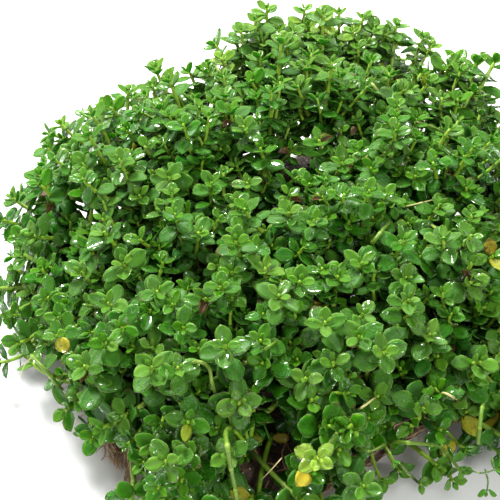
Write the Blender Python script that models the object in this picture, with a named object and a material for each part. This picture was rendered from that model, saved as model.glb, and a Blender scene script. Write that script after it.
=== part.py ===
# A clump of pearlweed grown out of water, on the square of soil and roots that it was lifted with.
# Metres, +Z up. The underside of the root mat lies on z = 0, and -Y is the clump's front.

import math
import random

import bmesh
import bpy
from mathutils import Matrix, Vector, noise
from mathutils.bvhtree import BVHTree

# The root mat: a ragged rectangle with round corners, turned on the floor
MAT_LENGTH = 0.097
MAT_WIDTH = 0.087
MAT_THICKNESS = 0.0115
MAT_TURN = math.radians(34.0)
MAT_CUTS = 9
MAT_SIDE_CUTS = 2
CORNER_POWER = 3.2
EDGE_TUCK = 0.05
EDGE_DROP = 0.0016
RAGGED_DEPTH = 0.0022
RAGGED_SCALE = 90.0
LUMP_HEIGHT = 0.0014
LUMP_SCALE = 130.0

# The canopy: how far the shoot tips spread, how high they stand, and how it rises to the back
CANOPY_LENGTH = 0.112
CANOPY_WIDTH = 0.103
CANOPY_TOP = 0.0440
CANOPY_EDGE = 0.0290
CANOPY_FALL = 3.0
FRONT_TILT = 0.10
BACK_TILT = 0.21
UNEVEN_LOW = -0.0025
UNEVEN_HIGH = 0.0030
MIDDLE_LEAN = 6.0
RIM_LEAN = 34.0
LOWEST_TIP = 0.0062
FLOOR_GAP = 0.0008

# One sprig: a rooted stem with a leader and its side shoots, one more on the sprigs of the rim
SPRIG_COUNT = 57
STEM_WIDTH = 0.0011
ROOT_WIDTH = 0.0018
FORK_LOW = 0.46
FORK_HIGH = 0.54
STEM_BEND = 0.55
HANGING_ARCH = 0.0125
HANGING_BEND = 0.3
ROOT_WANDER = 0.0012
TIP_WANDER = 0.0020
AIM_WANDER = 0.25
MAT_MARGIN = 0.0045
CROWDING = 0.46
RIM_START = 0.78

# The four leaves round each shoot tip
LEAF_LENGTH = 0.0053
LEAF_WIDTH = 0.0044
SHORT_PAIR = 0.88
WIDEST_AT = 0.52
BLUNTNESS = 0.5
CROWN_RISE = 0.0008
CUP_RANGE = (0.10, 0.42)
SIZE_RANGE = (0.94, 1.04)

# Room between pieces that touch and between neighbouring sprigs, and what gives way to find it
CLEARANCE = 0.0003
TRIES = 220
LATE_WANDER = 0.0020
LATE_SHRINK = 0.22

# Shoots that stand out of the clump's outline: tip in metres, then lean from upright in degrees
STRAYS = {
    "tall_at_the_back": ((-0.0145, 0.0465, 0.0500), 6.0),
    "beside_the_tall_one": ((0.0010, 0.0540, 0.0470), 14.0),
    "behind_the_middle": ((0.0085, 0.0470, 0.0490), 10.0),
    "back_corner": ((0.0150, 0.0580, 0.0465), 22.0),
    "back_right": ((0.0290, 0.0535, 0.0465), 25.0),
    "right_corner": ((0.0480, 0.0420, 0.0400), 38.0),
    "right_side": ((0.0600, -0.0030, 0.0240), 55.0),
    "left_corner": ((-0.0600, 0.0130, 0.0235), 52.0),
    "left_back": ((-0.0515, 0.0325, 0.0290), 44.0),
    "back_left": ((-0.0298, 0.0405, 0.0390), 24.0),
    "left_hanging": ((-0.0570, -0.0130, 0.0070), 82.0),
    "front_left_drooping": ((-0.0410, -0.0385, 0.0070), 88.0),
    "front_corner": ((-0.0080, -0.0580, 0.0160), 60.0),
    "front_right_low": ((0.0270, -0.0465, 0.0080), 80.0),
    "right_runner": ((0.0440, -0.0370, 0.0075), 85.0),
}
STRAY_SIDES_AT = 0.72

# Side shoots, by where they grow: bearing from outward in radians, how far out and how far down
# from the leader's tip in metres, and lean from upright in degrees
INNER_SIDE = {
    "bearing": (-0.5, 0.5),
    "spread": (0.0068, 0.0092),
    "drop": (0.0020, 0.0085),
    "lean": (10.0, 40.0),
}
RIM_SKIRT = {
    "bearing": (-0.5, 0.5),
    "spread": (0.0030, 0.0065),
    "drop": (0.0110, 0.0165),
    "lean": (60.0, 85.0),
}
RIM_HIGH = {
    "bearing": (0.9, 1.7),
    "spread": (0.0065, 0.0092),
    "drop": (0.0025, 0.0085),
    "lean": (35.0, 60.0),
}
RIM_LOW = {
    "bearing": (-1.7, -0.9),
    "spread": (0.0065, 0.0092),
    "drop": (0.0080, 0.0145),
    "lean": (50.0, 75.0),
}
STRAY_LEFT = {
    "bearing": (1.2, 2.2),
    "spread": (0.0062, 0.0092),
    "drop": (0.0050, 0.0110),
    "lean": (20.0, 55.0),
}
STRAY_RIGHT = {
    "bearing": (-2.2, -1.2),
    "spread": (0.0062, 0.0092),
    "drop": (0.0050, 0.0110),
    "lean": (20.0, 55.0),
}
STRAY_SKIRT = {
    "bearing": (-0.9, 0.9),
    "spread": (0.0040, 0.0085),
    "drop": (0.0140, 0.0270),
    "lean": (55.0, 85.0),
}

UP = Vector((0.0, 0.0, 1.0))
GOLDEN_ANGLE = math.pi * (3.0 - math.sqrt(5.0))
SKY = 0.1


def outline(angle, length, width, margin):
    # Distance from the middle to the edge of a turned rectangle with round corners, less a margin
    turned = angle - MAT_TURN
    along = abs(math.cos(turned)) / (length / 2 - margin)
    across = abs(math.sin(turned)) / (width / 2 - margin)
    return (along**CORNER_POWER + across**CORNER_POWER) ** (-1.0 / CORNER_POWER)


def outward(angle):
    return Vector((math.cos(angle), math.sin(angle), 0.0))


def leaning(angle, lean):
    # A direction that leans from upright by an angle, towards a bearing
    return outward(angle) * math.sin(lean) + UP * math.cos(lean)


def bezier(start, control, end, t):
    return start * (1 - t) ** 2 + control * (2 * t * (1 - t)) + end * t**2


def wander(rng, most):
    # A small level shift in any direction
    return outward(rng.uniform(0, math.tau)) * rng.uniform(0.0, most)


def make_material(name, colour, roughness):
    material = bpy.data.materials.new(name)
    material.use_nodes = True
    shader = material.node_tree.nodes["Principled BSDF"]
    shader.inputs["Base Color"].default_value = (*colour, 1.0)
    shader.inputs["Roughness"].default_value = roughness
    shader.inputs["Metallic"].default_value = 0.0
    return material


def make_object(name, mesh_data, material, collection):
    mesh = bpy.data.meshes.new(name)
    mesh_data.to_mesh(mesh)
    mesh_data.free()
    mesh.materials.append(material)
    obj = bpy.data.objects.new(name, mesh)
    collection.objects.link(obj)
    return obj


def is_level(edge):
    return abs(edge.verts[0].co.z - edge.verts[1].co.z) < 0.5


def shape_mat():
    # A block cut into a grid on top, drawn out to the ragged outline, flat underneath
    mat = bmesh.new()
    bmesh.ops.create_cube(mat, size=2.0)
    level = [edge for edge in mat.edges if is_level(edge)]
    bmesh.ops.subdivide_edges(mat, edges=level, cuts=MAT_CUTS, use_grid_fill=True)
    upright = [edge for edge in mat.edges if not is_level(edge)]
    bmesh.ops.subdivide_edges(mat, edges=upright, cuts=MAT_SIDE_CUTS)
    underneath = [face for face in mat.faces if face.normal.z < -0.9]
    bmesh.ops.dissolve_faces(mat, faces=underneath)
    for vert in mat.verts:
        reach = max(abs(vert.co.x), abs(vert.co.y))
        way = outward(math.atan2(vert.co.y, vert.co.x) + MAT_TURN)
        edge = outline(math.atan2(way.y, way.x), MAT_LENGTH, MAT_WIDTH, 0.0)
        tucked = 1.0 - EDGE_TUCK * vert.co.z**2 * reach**8
        place = way * edge * reach * tucked
        torn = noise.noise(place * RAGGED_SCALE + UP * vert.co.z)
        place += way * torn * RAGGED_DEPTH * reach**4
        lumps = noise.noise(place * LUMP_SCALE) * LUMP_HEIGHT
        top = MAT_THICKNESS - EDGE_DROP * reach**6 + lumps
        place.z = top * (vert.co.z + 1.0) / 2.0
        vert.co = place
    bmesh.ops.triangulate(mat, faces=mat.faces)
    bmesh.ops.recalc_face_normals(mat, faces=mat.faces)
    return mat


def mat_top(mat_tree, x, y):
    # The highest point of the mat under the foot of a stem
    heights = []
    for side_x in (-ROOT_WIDTH, ROOT_WIDTH):
        for side_y in (-ROOT_WIDTH, ROOT_WIDTH):
            above = Vector((x + side_x * 0.75, y + side_y * 0.75, SKY))
            hit = mat_tree.ray_cast(above, -UP)[0]
            heights.append(hit.z if hit else 0.0)
    return max(heights)


def grow(sprig, face, centre, direction):
    # One more length of square stem out of a face, ending at a centre and facing a direction
    turn = face.normal.copy().rotation_difference(direction)
    middle = face.calc_center_median()
    grown = bmesh.ops.extrude_discrete_faces(sprig, faces=[face])["faces"][0]
    for vert in grown.verts:
        corner = turn @ (vert.co - middle)
        vert.co = centre + corner.normalized() * STEM_WIDTH * math.sqrt(0.5)
    grown.normal_update()
    return grown


def open_whorl(sprig, face, leaf_length, cup):
    # Four leaves, in two crossed pairs, lofted out of the square end of a stem
    middle = face.calc_center_median()
    normal = face.normal.copy()
    corners = list(face.verts)
    bmesh.ops.delete(sprig, geom=[face], context="FACES_ONLY")
    crown = sprig.verts.new(middle + normal * CROWN_RISE)
    for number, first in enumerate(corners):
        last = corners[(number + 1) % 4]
        along = ((first.co + last.co) / 2 - middle).normalized()
        across = normal.cross(along)
        length = leaf_length * (1.0 if number % 2 == 0 else SHORT_PAIR)
        half = LEAF_WIDTH / LEAF_LENGTH * length / 2
        rise = normal * length * cup
        low = middle + along * length * WIDEST_AT + rise * WIDEST_AT
        high = middle + along * length + rise
        points = [
            sprig.verts.new(low - across * half),
            sprig.verts.new(high - across * half * BLUNTNESS),
            sprig.verts.new(high + across * half * BLUNTNESS),
            sprig.verts.new(low + across * half),
        ]
        rim = [first, *points, last]
        for near, far in zip(rim, rim[1:]):
            sprig.faces.new((crown, near, far))
        sprig.faces.new((first, points[1], points[0]))
        sprig.faces.new((first, points[2], points[1]))
        sprig.faces.new((first, last, points[2]))
        sprig.faces.new((last, points[3], points[2]))


def stem_control(base, tip):
    # The point that a stem bends towards: straight up, or over the mat's edge for a hanging tip
    if tip.z > base.z + HANGING_ARCH:
        return base + UP * (tip.z - base.z) * STEM_BEND
    bend = base.lerp(tip, HANGING_BEND)
    bend.z = base.z + HANGING_ARCH
    return bend


def shape_sprig(plan):
    # A rooted stem, a leader and its side shoots, each with its whorl, as one closed body
    base, tip = plan["base"], plan["tip"]
    bend = stem_control(base, tip)
    low = bezier(base, bend, tip, FORK_LOW)
    high = bezier(base, bend, tip, FORK_HIGH)

    sprig = bmesh.new()
    bmesh.ops.create_cube(sprig, size=1.0)
    spin = Matrix.Rotation(plan["spin"], 3, "Z")
    for vert in sprig.verts:
        foot = vert.co.z < 0
        corner = spin @ Vector((vert.co.x, vert.co.y, 0.0))
        vert.co = corner * (ROOT_WIDTH if foot else STEM_WIDTH) + (base if foot else low)
    sprig.normal_update()
    stem_end = max(sprig.faces, key=lambda face: face.normal.z)
    fork = grow(sprig, stem_end, high, (high - low).normalized())
    buds = [face for edge in fork.edges for face in edge.link_faces if face != fork]
    ends = [grow(sprig, fork, tip, plan["aim"])]
    for side_tip, side_aim in plan["sides"]:
        heading = side_tip - high
        heading.z = 0.0
        bud = max(buds, key=lambda face: face.normal.dot(heading))
        buds.remove(bud)
        ends.append(grow(sprig, bud, side_tip, side_aim))
    for end in ends:
        open_whorl(sprig, end, plan["leaf"], plan["cup"])
    bmesh.ops.triangulate(sprig, faces=sprig.faces)
    return sprig


def share_out(number):
    # How far from the middle a sprig is rooted, as a share of the mat's half width
    return ((number + 0.5) / SPRIG_COUNT) ** CROWDING


def canopy_height(share, y):
    dome = (CANOPY_TOP - CANOPY_EDGE) * (1.0 - share**CANOPY_FALL)
    return CANOPY_EDGE + dome + (BACK_TILT if y > 0.0 else FRONT_TILT) * y


def choose_shoots(rng, share, stray):
    # Which side shoots a sprig has, by its place in the clump
    if stray:
        return [STRAY_LEFT, STRAY_RIGHT, STRAY_SKIRT]
    if share > RIM_START:
        return rng.sample([RIM_SKIRT, RIM_HIGH, RIM_LOW], 3)
    return [INNER_SIDE, INNER_SIDE]


def plan_sprig(number, attempt, root, stray, mat_tree):
    # Where one sprig's stem stands and where its tips are, for one try at finding room
    rng = random.Random(number * 1000 + attempt)
    patience = attempt / TRIES
    share = share_out(number)
    angle = math.atan2(root.y, root.x)
    base = root + wander(rng, ROOT_WANDER + LATE_WANDER * patience)
    base.z = mat_top(mat_tree, base.x, base.y) + CLEARANCE

    reach = outline(angle, CANOPY_LENGTH, CANOPY_WIDTH, LEAF_LENGTH * 0.6) * share
    tip = outward(angle) * reach + wander(rng, TIP_WANDER)
    uneven = rng.uniform(UNEVEN_LOW, UNEVEN_HIGH) * (1.0 + patience)
    tip.z = canopy_height(share, tip.y) + uneven
    lean = math.radians(MIDDLE_LEAN + RIM_LEAN * share**2)
    shoulder = tip.z
    if stray:
        tip = Vector(stray[0])
        lean = math.radians(stray[1])
        angle = math.atan2(tip.y, tip.x)
        shoulder = max(tip.z, shoulder)

    sides = []
    heading = rng.uniform(0, math.tau)
    for place, shoot in enumerate(choose_shoots(rng, share, stray)):
        bearing = rng.uniform(*shoot["bearing"])
        bearing += heading + place * math.pi if shoot is INNER_SIDE else angle
        side_lean = math.radians(rng.uniform(*shoot["lean"]))
        side_tip = base.lerp(tip, STRAY_SIDES_AT) if stray else Vector(tip)
        side_tip += outward(bearing) * rng.uniform(*shoot["spread"])
        lowest = LOWEST_TIP + LEAF_LENGTH * 0.6 * math.sin(side_lean)
        side_tip.z = max(shoulder - rng.uniform(*shoot["drop"]), lowest)
        away = side_tip - base
        sides.append((side_tip, leaning(math.atan2(away.y, away.x), side_lean)))
    return {
        "base": base,
        "tip": tip,
        "aim": (leaning(angle, lean) + wander(rng, AIM_WANDER)).normalized(),
        "sides": sides,
        "spin": rng.uniform(0, math.tau),
        "leaf": LEAF_LENGTH * (1.0 - LATE_SHRINK * patience) * rng.uniform(*SIZE_RANGE),
        "cup": rng.uniform(*CUP_RANGE),
    }


def nearest_root(roots, tip, taken):
    # The sprig, not yet taken, that is rooted nearest to a stray shoot
    free = [number for number in roots if number not in taken]
    spread = CANOPY_LENGTH / MAT_LENGTH
    over = Vector((tip[0], tip[1], 0.0)) / spread
    return min(free, key=lambda number: (roots[number] - over).length)


def plant_sprigs(mat_tree):
    # Each sprig takes the first of its tries that clears the mat and every sprig before it
    roots = {}
    for number in range(SPRIG_COUNT):
        angle = number * GOLDEN_ANGLE
        reach = outline(angle, MAT_LENGTH, MAT_WIDTH, MAT_MARGIN) * share_out(number)
        roots[number] = outward(angle) * reach
    strays = {}
    for stray in STRAYS.values():
        strays[nearest_root(roots, stray[0], strays)] = stray
    planted = {}
    trees = [mat_tree]
    for number in sorted(roots, key=lambda number: (number not in strays, -number)):
        for attempt in range(TRIES):
            plan = plan_sprig(number, attempt, roots[number], strays.get(number), mat_tree)
            sprig = shape_sprig(plan)
            lowest = min(vert.co.z for vert in sprig.verts)
            tree = BVHTree.FromBMesh(sprig, epsilon=CLEARANCE)
            if lowest > FLOOR_GAP and not any(tree.overlap(other) for other in trees):
                planted[number] = sprig
                trees.append(tree)
                break
            sprig.free()
    return [planted[number] for number in sorted(planted)]


def centre_over_origin(objects):
    # The clump's box is centred on the origin, with its underside on the floor
    corners = [vert.co for obj in objects for vert in obj.data.vertices]
    middle_x = (min(co.x for co in corners) + max(co.x for co in corners)) / 2
    middle_y = (min(co.y for co in corners) + max(co.y for co in corners)) / 2
    for obj in objects:
        obj.data.transform(Matrix.Translation((-middle_x, -middle_y, 0.0)))


def main():
    for obj in list(bpy.data.objects):
        bpy.data.objects.remove(obj, do_unlink=True)
    collection = bpy.data.collections.new("pearlweed")
    bpy.context.scene.collection.children.link(collection)
    soil = make_material("root_mat", (0.055, 0.030, 0.016), 0.9)
    leaf = make_material("leaf", (0.075, 0.195, 0.022), 0.38)

    mat = shape_mat()
    mat_tree = BVHTree.FromBMesh(mat, epsilon=0.0)
    objects = [make_object("root_mat", mat, soil, collection)]
    for place, sprig in enumerate(plant_sprigs(mat_tree), start=1):
        objects.append(make_object(f"sprig_{place:02d}", sprig, leaf, collection))
    centre_over_origin(objects)
    print("sprigs planted:", len(objects) - 1)


main()
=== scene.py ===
import math
import random

import bmesh
import bpy
import numpy as np
from mathutils import Matrix, Vector, noise
from mathutils.kdtree import KDTree


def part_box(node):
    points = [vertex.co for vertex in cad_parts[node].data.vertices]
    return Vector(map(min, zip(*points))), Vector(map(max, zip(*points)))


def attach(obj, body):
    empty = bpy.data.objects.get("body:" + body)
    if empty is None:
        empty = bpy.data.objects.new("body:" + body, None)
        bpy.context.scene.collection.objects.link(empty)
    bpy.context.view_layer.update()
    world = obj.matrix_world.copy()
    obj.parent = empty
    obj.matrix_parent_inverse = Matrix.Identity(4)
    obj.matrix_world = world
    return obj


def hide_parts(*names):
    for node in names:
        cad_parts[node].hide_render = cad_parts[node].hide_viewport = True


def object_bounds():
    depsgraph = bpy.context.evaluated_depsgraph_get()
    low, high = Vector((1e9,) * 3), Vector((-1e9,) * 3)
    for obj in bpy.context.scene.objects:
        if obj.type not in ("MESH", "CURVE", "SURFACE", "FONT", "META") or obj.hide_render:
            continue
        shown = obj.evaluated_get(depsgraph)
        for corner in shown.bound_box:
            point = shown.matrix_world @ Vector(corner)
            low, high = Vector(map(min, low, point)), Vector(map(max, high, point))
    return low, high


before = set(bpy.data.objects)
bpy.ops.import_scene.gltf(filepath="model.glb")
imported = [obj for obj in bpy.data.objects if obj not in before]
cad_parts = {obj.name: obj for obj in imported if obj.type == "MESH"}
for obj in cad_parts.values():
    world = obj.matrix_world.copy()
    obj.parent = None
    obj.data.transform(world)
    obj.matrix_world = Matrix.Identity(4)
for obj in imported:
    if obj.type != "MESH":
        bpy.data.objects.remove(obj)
cadLow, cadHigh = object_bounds()
mm = 0.001
up = Vector((0.0, 0.0, 1.0))
print("frame loaded:", len(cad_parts), "nodes")


def addObject(name, data):
    thing = bpy.data.objects.new(name, data)
    bpy.context.collection.objects.link(thing)
    return thing


# Camera

cameraSet = {
    "aim": Vector((-8.0, -1.0, 22.0)) * mm,  # what the middle of the picture looks at
    "elevation": 44.0,  # degrees above the floor
    "distance": 195.0 * mm,
    "lens": 66.7,
    "sensor": 36.0,
    "picture": 500.0,  # pixels, square
    "clip": (0.01, 10.0),  # metres
}
focalPixels = cameraSet["lens"] / cameraSet["sensor"] * cameraSet["picture"]
halfPicture = cameraSet["picture"] / 2


def makeCamera():
    tilt = math.radians(cameraSet["elevation"])
    back = Vector((0.0, -math.cos(tilt), math.sin(tilt)))
    data = bpy.data.cameras.new("camera")
    data.lens = cameraSet["lens"]
    data.sensor_width = cameraSet["sensor"]
    data.clip_start, data.clip_end = cameraSet["clip"]
    camera = addObject("camera", data)
    camera.location = cameraSet["aim"] + back * cameraSet["distance"]
    camera.rotation_euler = (math.pi / 2 - tilt, 0.0, 0.0)
    bpy.context.scene.camera = camera
    bpy.context.view_layer.update()
    return camera


def underPixel(x, y, height):
    # The point at a height above the floor that shows at a pixel of the picture
    ray = Vector(((x - halfPicture) / focalPixels, (halfPicture - y) / focalPixels, -1.0))
    ray = camera.matrix_world.to_3x3() @ ray
    return eye + ray * (height - eye.z) / ray.z


def pixelOf(point):
    # Where a point shows in the picture, whatever stands in front of it
    seen = camera.matrix_world.inverted() @ point
    return halfPicture - focalPixels * seen.x / seen.z, halfPicture + focalPixels * seen.y / seen.z


camera = makeCamera()
eye = camera.matrix_world.translation.copy()
print("camera set")


# Light and floor

lightSet = {
    "keyLight": {"at": (-0.26, 0.30, 0.60), "size": 0.20, "watts": 9.6},
    "sparkleLight": {"at": (0.12, 0.42, 0.44), "size": 0.05, "watts": 2.6},
    "frontLight": {"at": (0.30, -0.46, 0.60), "size": 0.18, "watts": 3.4},
}
worldStrength = 0.65
floorSet = {"size": 6.0, "colour": (0.80, 0.80, 0.785), "roughness": 0.6}


def makeLight(name, at, size, watts):
    data = bpy.data.lights.new(name, "AREA")
    data.size = size
    data.energy = watts
    lamp = addObject(name, data)
    lamp.location = at
    lamp.rotation_euler = (cameraSet["aim"] - lamp.location).to_track_quat("-Z", "Y").to_euler()


def makeWorld(strength):
    world = bpy.data.worlds.new("studio")
    world.use_nodes = True
    sky = world.node_tree.nodes["Background"]
    sky.inputs["Color"].default_value = (1.0, 1.0, 1.0, 1.0)
    sky.inputs["Strength"].default_value = strength
    bpy.context.scene.world = world


def makeFloor():
    mesh = bpy.data.meshes.new("floor")
    grid = bmesh.new()
    bmesh.ops.create_grid(grid, x_segments=1, y_segments=1, size=floorSet["size"] / 2)
    grid.to_mesh(mesh)
    grid.free()
    material = bpy.data.materials.new("paleFloor")
    material.use_nodes = True
    shader = material.node_tree.nodes["Principled BSDF"]
    shader.inputs["Base Color"].default_value = (*floorSet["colour"], 1.0)
    shader.inputs["Roughness"].default_value = floorSet["roughness"]
    mesh.materials.append(material)
    floor = addObject("floor", mesh)


for name, values in lightSet.items():
    makeLight(name, **values)
makeWorld(worldStrength)
makeFloor()
bpy.context.scene.view_settings.view_transform = "Standard"
print("light and floor set")


# Shader groups: each effect is built once and placed in several materials

def newGroup(name, inputs, outputs):
    tree = bpy.data.node_groups.new(name, "ShaderNodeTree")
    for label, kind, value in inputs:
        socket = tree.interface.new_socket(name=label, in_out="INPUT", socket_type=kind)
        if value is not None:
            socket.default_value = value
    for label, kind in outputs:
        tree.interface.new_socket(name=label, in_out="OUTPUT", socket_type=kind)
    start = tree.nodes.new("NodeGroupInput")
    end = tree.nodes.new("NodeGroupOutput")
    return tree, start.outputs, end.inputs


def setInput(tree, socket, value):
    # A number or a colour goes on the socket itself, anything else is a link
    if isinstance(value, bpy.types.NodeSocket):
        tree.links.new(value, socket)
    else:
        socket.default_value = (*value, 1.0) if isinstance(value, tuple) else value


def setInputs(tree, node, **values):
    for label, value in values.items():
        setInput(tree, node.inputs[label.replace("_", " ")], value)


def calc(tree, operation, first, second=0.0):
    node = tree.nodes.new("ShaderNodeMath")
    node.operation = operation
    setInput(tree, node.inputs[0], first)
    setInput(tree, node.inputs[1], second)
    return node.outputs[0]


def plus(tree, first, second):
    return calc(tree, "ADD", first, second)


def minus(tree, first, second):
    return calc(tree, "SUBTRACT", first, second)


def times(tree, first, second):
    return calc(tree, "MULTIPLY", first, second)


def greater(tree, first, second):
    return calc(tree, "MAXIMUM", first, second)


def between(tree, share, first, second):
    # The first value at share 0 and the second at share 1
    return plus(tree, times(tree, first, minus(tree, 1.0, share)), times(tree, second, share))


def ramp(tree, value, low, high, toLow=0.0, toHigh=1.0):
    # A soft step between two values
    node = tree.nodes.new("ShaderNodeMapRange")
    node.interpolation_type = "SMOOTHSTEP"
    setInputs(tree, node, Value=value, From_Min=low, From_Max=high, To_Min=toLow, To_Max=toHigh)
    return node.outputs["Result"]


def blendColour(tree, amount, first, second):
    node = tree.nodes.new("ShaderNodeMix")
    node.data_type = "RGBA"
    setInputs(tree, node, Factor=amount, A=first, B=second)
    return node.outputs["Result"]


def textureAt(tree, kind, **values):
    # A texture that stays with the object's own coordinates
    place = tree.nodes.new("ShaderNodeTexCoord")
    node = tree.nodes.new(kind)
    setInputs(tree, node, Vector=place.outputs["Object"], **values)
    return node.outputs


def noiseAt(tree, scale, detail=3.0, rough=0.55, twist=0.0):
    values = {"Scale": scale, "Detail": detail, "Roughness": rough, "Distortion": twist}
    return textureAt(tree, "ShaderNodeTexNoise", **values)["Fac"]


def cellsAt(tree, scale):
    return textureAt(tree, "ShaderNodeTexVoronoi", Scale=scale)["Distance"]


def buildWetFilm():
    # Where moisture stands on a surface, and the small beads that it draws up into
    inputs = (
        ("Amount", "NodeSocketFloat", 0.5),
        ("Patch Scale", "NodeSocketFloat", 300.0),
        ("Bead Scale", "NodeSocketFloat", 1500.0),
    )
    outputs = (("Film", "NodeSocketFloat"), ("Beads", "NodeSocketFloat"))
    tree, given, result = newGroup("wetFilm", inputs, outputs)
    patches = noiseAt(tree, given["Patch Scale"], 2.0)
    edge = minus(tree, 0.66, times(tree, given["Amount"], 0.36))
    film = ramp(tree, patches, edge, plus(tree, edge, 0.07))
    beads = 0.0
    for share, most in ((1.0, 1.0), (1.9, 0.30)):
        # big and small domes of water, flat between them
        apart = cellsAt(tree, times(tree, given["Bead Scale"], share))
        apart = calc(tree, "DIVIDE", apart, 0.44)
        dome = greater(tree, minus(tree, 1.0, times(tree, apart, apart)), 0.0)
        beads = plus(tree, beads, times(tree, dome, most))
    beads = times(tree, beads, film)
    tree.links.new(times(tree, film, ramp(tree, beads, 0.02, 0.15)), result["Film"])
    tree.links.new(beads, result["Beads"])
    return tree


def buildMottle():
    # Blotches of a second colour over a first, at two scales
    inputs = (
        ("Colour", "NodeSocketColor", (0.1, 0.2, 0.05, 1.0)),
        ("Blotch Colour", "NodeSocketColor", (0.2, 0.3, 0.1, 1.0)),
        ("Amount", "NodeSocketFloat", 0.5),
        ("Scale", "NodeSocketFloat", 300.0),
    )
    tree, given, result = newGroup("mottle", inputs, (("Colour", "NodeSocketColor"),))
    coarse = ramp(tree, noiseAt(tree, given["Scale"], 3.0), 0.36, 0.66)
    fine = noiseAt(tree, times(tree, given["Scale"], 5.5), 2.0)
    mask = times(tree, plus(tree, coarse, times(tree, fine, 0.5)), 0.72)
    mask = times(tree, mask, given["Amount"])
    tree.links.new(blendColour(tree, mask, given["Colour"], given["Blotch Colour"]), result["Colour"])
    return tree


def buildCellGrain():
    # The fine uneven skin of leaf cells, stem ridges or soil grains, as a height
    inputs = (("Scale", "NodeSocketFloat", 3000.0), ("Softness", "NodeSocketFloat", 0.5))
    tree, given, result = newGroup("cellGrain", inputs, (("Height", "NodeSocketFloat"),))
    cells = cellsAt(tree, given["Scale"])
    swell = noiseAt(tree, times(tree, given["Scale"], 0.3), 3.0)
    tree.links.new(between(tree, given["Softness"], cells, swell), result["Height"])
    return tree


wetFilm = buildWetFilm()
mottle = buildMottle()
cellGrain = buildCellGrain()


def useGroup(tree, group, **values):
    node = tree.nodes.new("ShaderNodeGroup")
    node.node_tree = group
    setInputs(tree, node, **values)
    return node.outputs


def readPoint(tree, name):
    # A vector that the mesh keeps at each point, as its three numbers
    source = tree.nodes.new("ShaderNodeAttribute")
    source.attribute_name = name
    parts = tree.nodes.new("ShaderNodeSeparateXYZ")
    tree.links.new(source.outputs["Vector"], parts.inputs["Vector"])
    return parts.outputs


def newMaterial(name):
    material = bpy.data.materials.new(name)
    material.use_nodes = True
    tree = material.node_tree
    return material, tree, tree.nodes["Principled BSDF"]


def dress(tree, shader, colour, rough, height, relief):
    # The colour, roughness and relief of a surface
    node = tree.nodes.new("ShaderNodeBump")
    setInputs(tree, node, Distance=relief, Strength=1.0, Height=height)
    setInputs(tree, shader, Base_Color=colour, Roughness=rough, Normal=node.outputs["Normal"])


def setFixed(shader, values):
    # What is the same all over a surface goes on the shader's own sockets
    for label, value in values.items():
        shader.inputs[label].default_value = value


# Leaf

leafLook = {
    "fresh": (0.070, 0.198, 0.006),
    "mature": (0.024, 0.118, 0.005),
    "old": (0.003, 0.074, 0.004),
    "pale": (0.300, 0.430, 0.040),
    "margin": (0.140, 0.300, 0.050),
    "vein": (0.055, 0.185, 0.012),
    "speckle": (0.105, 0.250, 0.040),
    "underside": (0.042, 0.145, 0.018),
    "yellow": (0.430, 0.340, 0.028),
    "brown": (0.062, 0.032, 0.012),
    "russet": (0.070, 0.030, 0.012),
    "roughness": 0.40,
    "wetRoughness": 0.14,
    "relief": 0.10 * mm,
    "mottle": {"Amount": 0.42, "Scale": 520.0},
    "film": {"Patch_Scale": 520.0, "Bead_Scale": 1350.0},
    "grain": {"Scale": 3600.0, "Softness": 0.55},
    "fixed": {
        "Coat Roughness": 0.03,
        "Coat IOR": 1.65,
        "Specular IOR Level": 0.13,
        "Subsurface Weight": 0.16,  # share of light that goes through the tissue
        "Subsurface Radius": (0.35, 1.0, 0.12),
        "Subsurface Scale": 1.2 * mm,
    },
}


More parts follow.
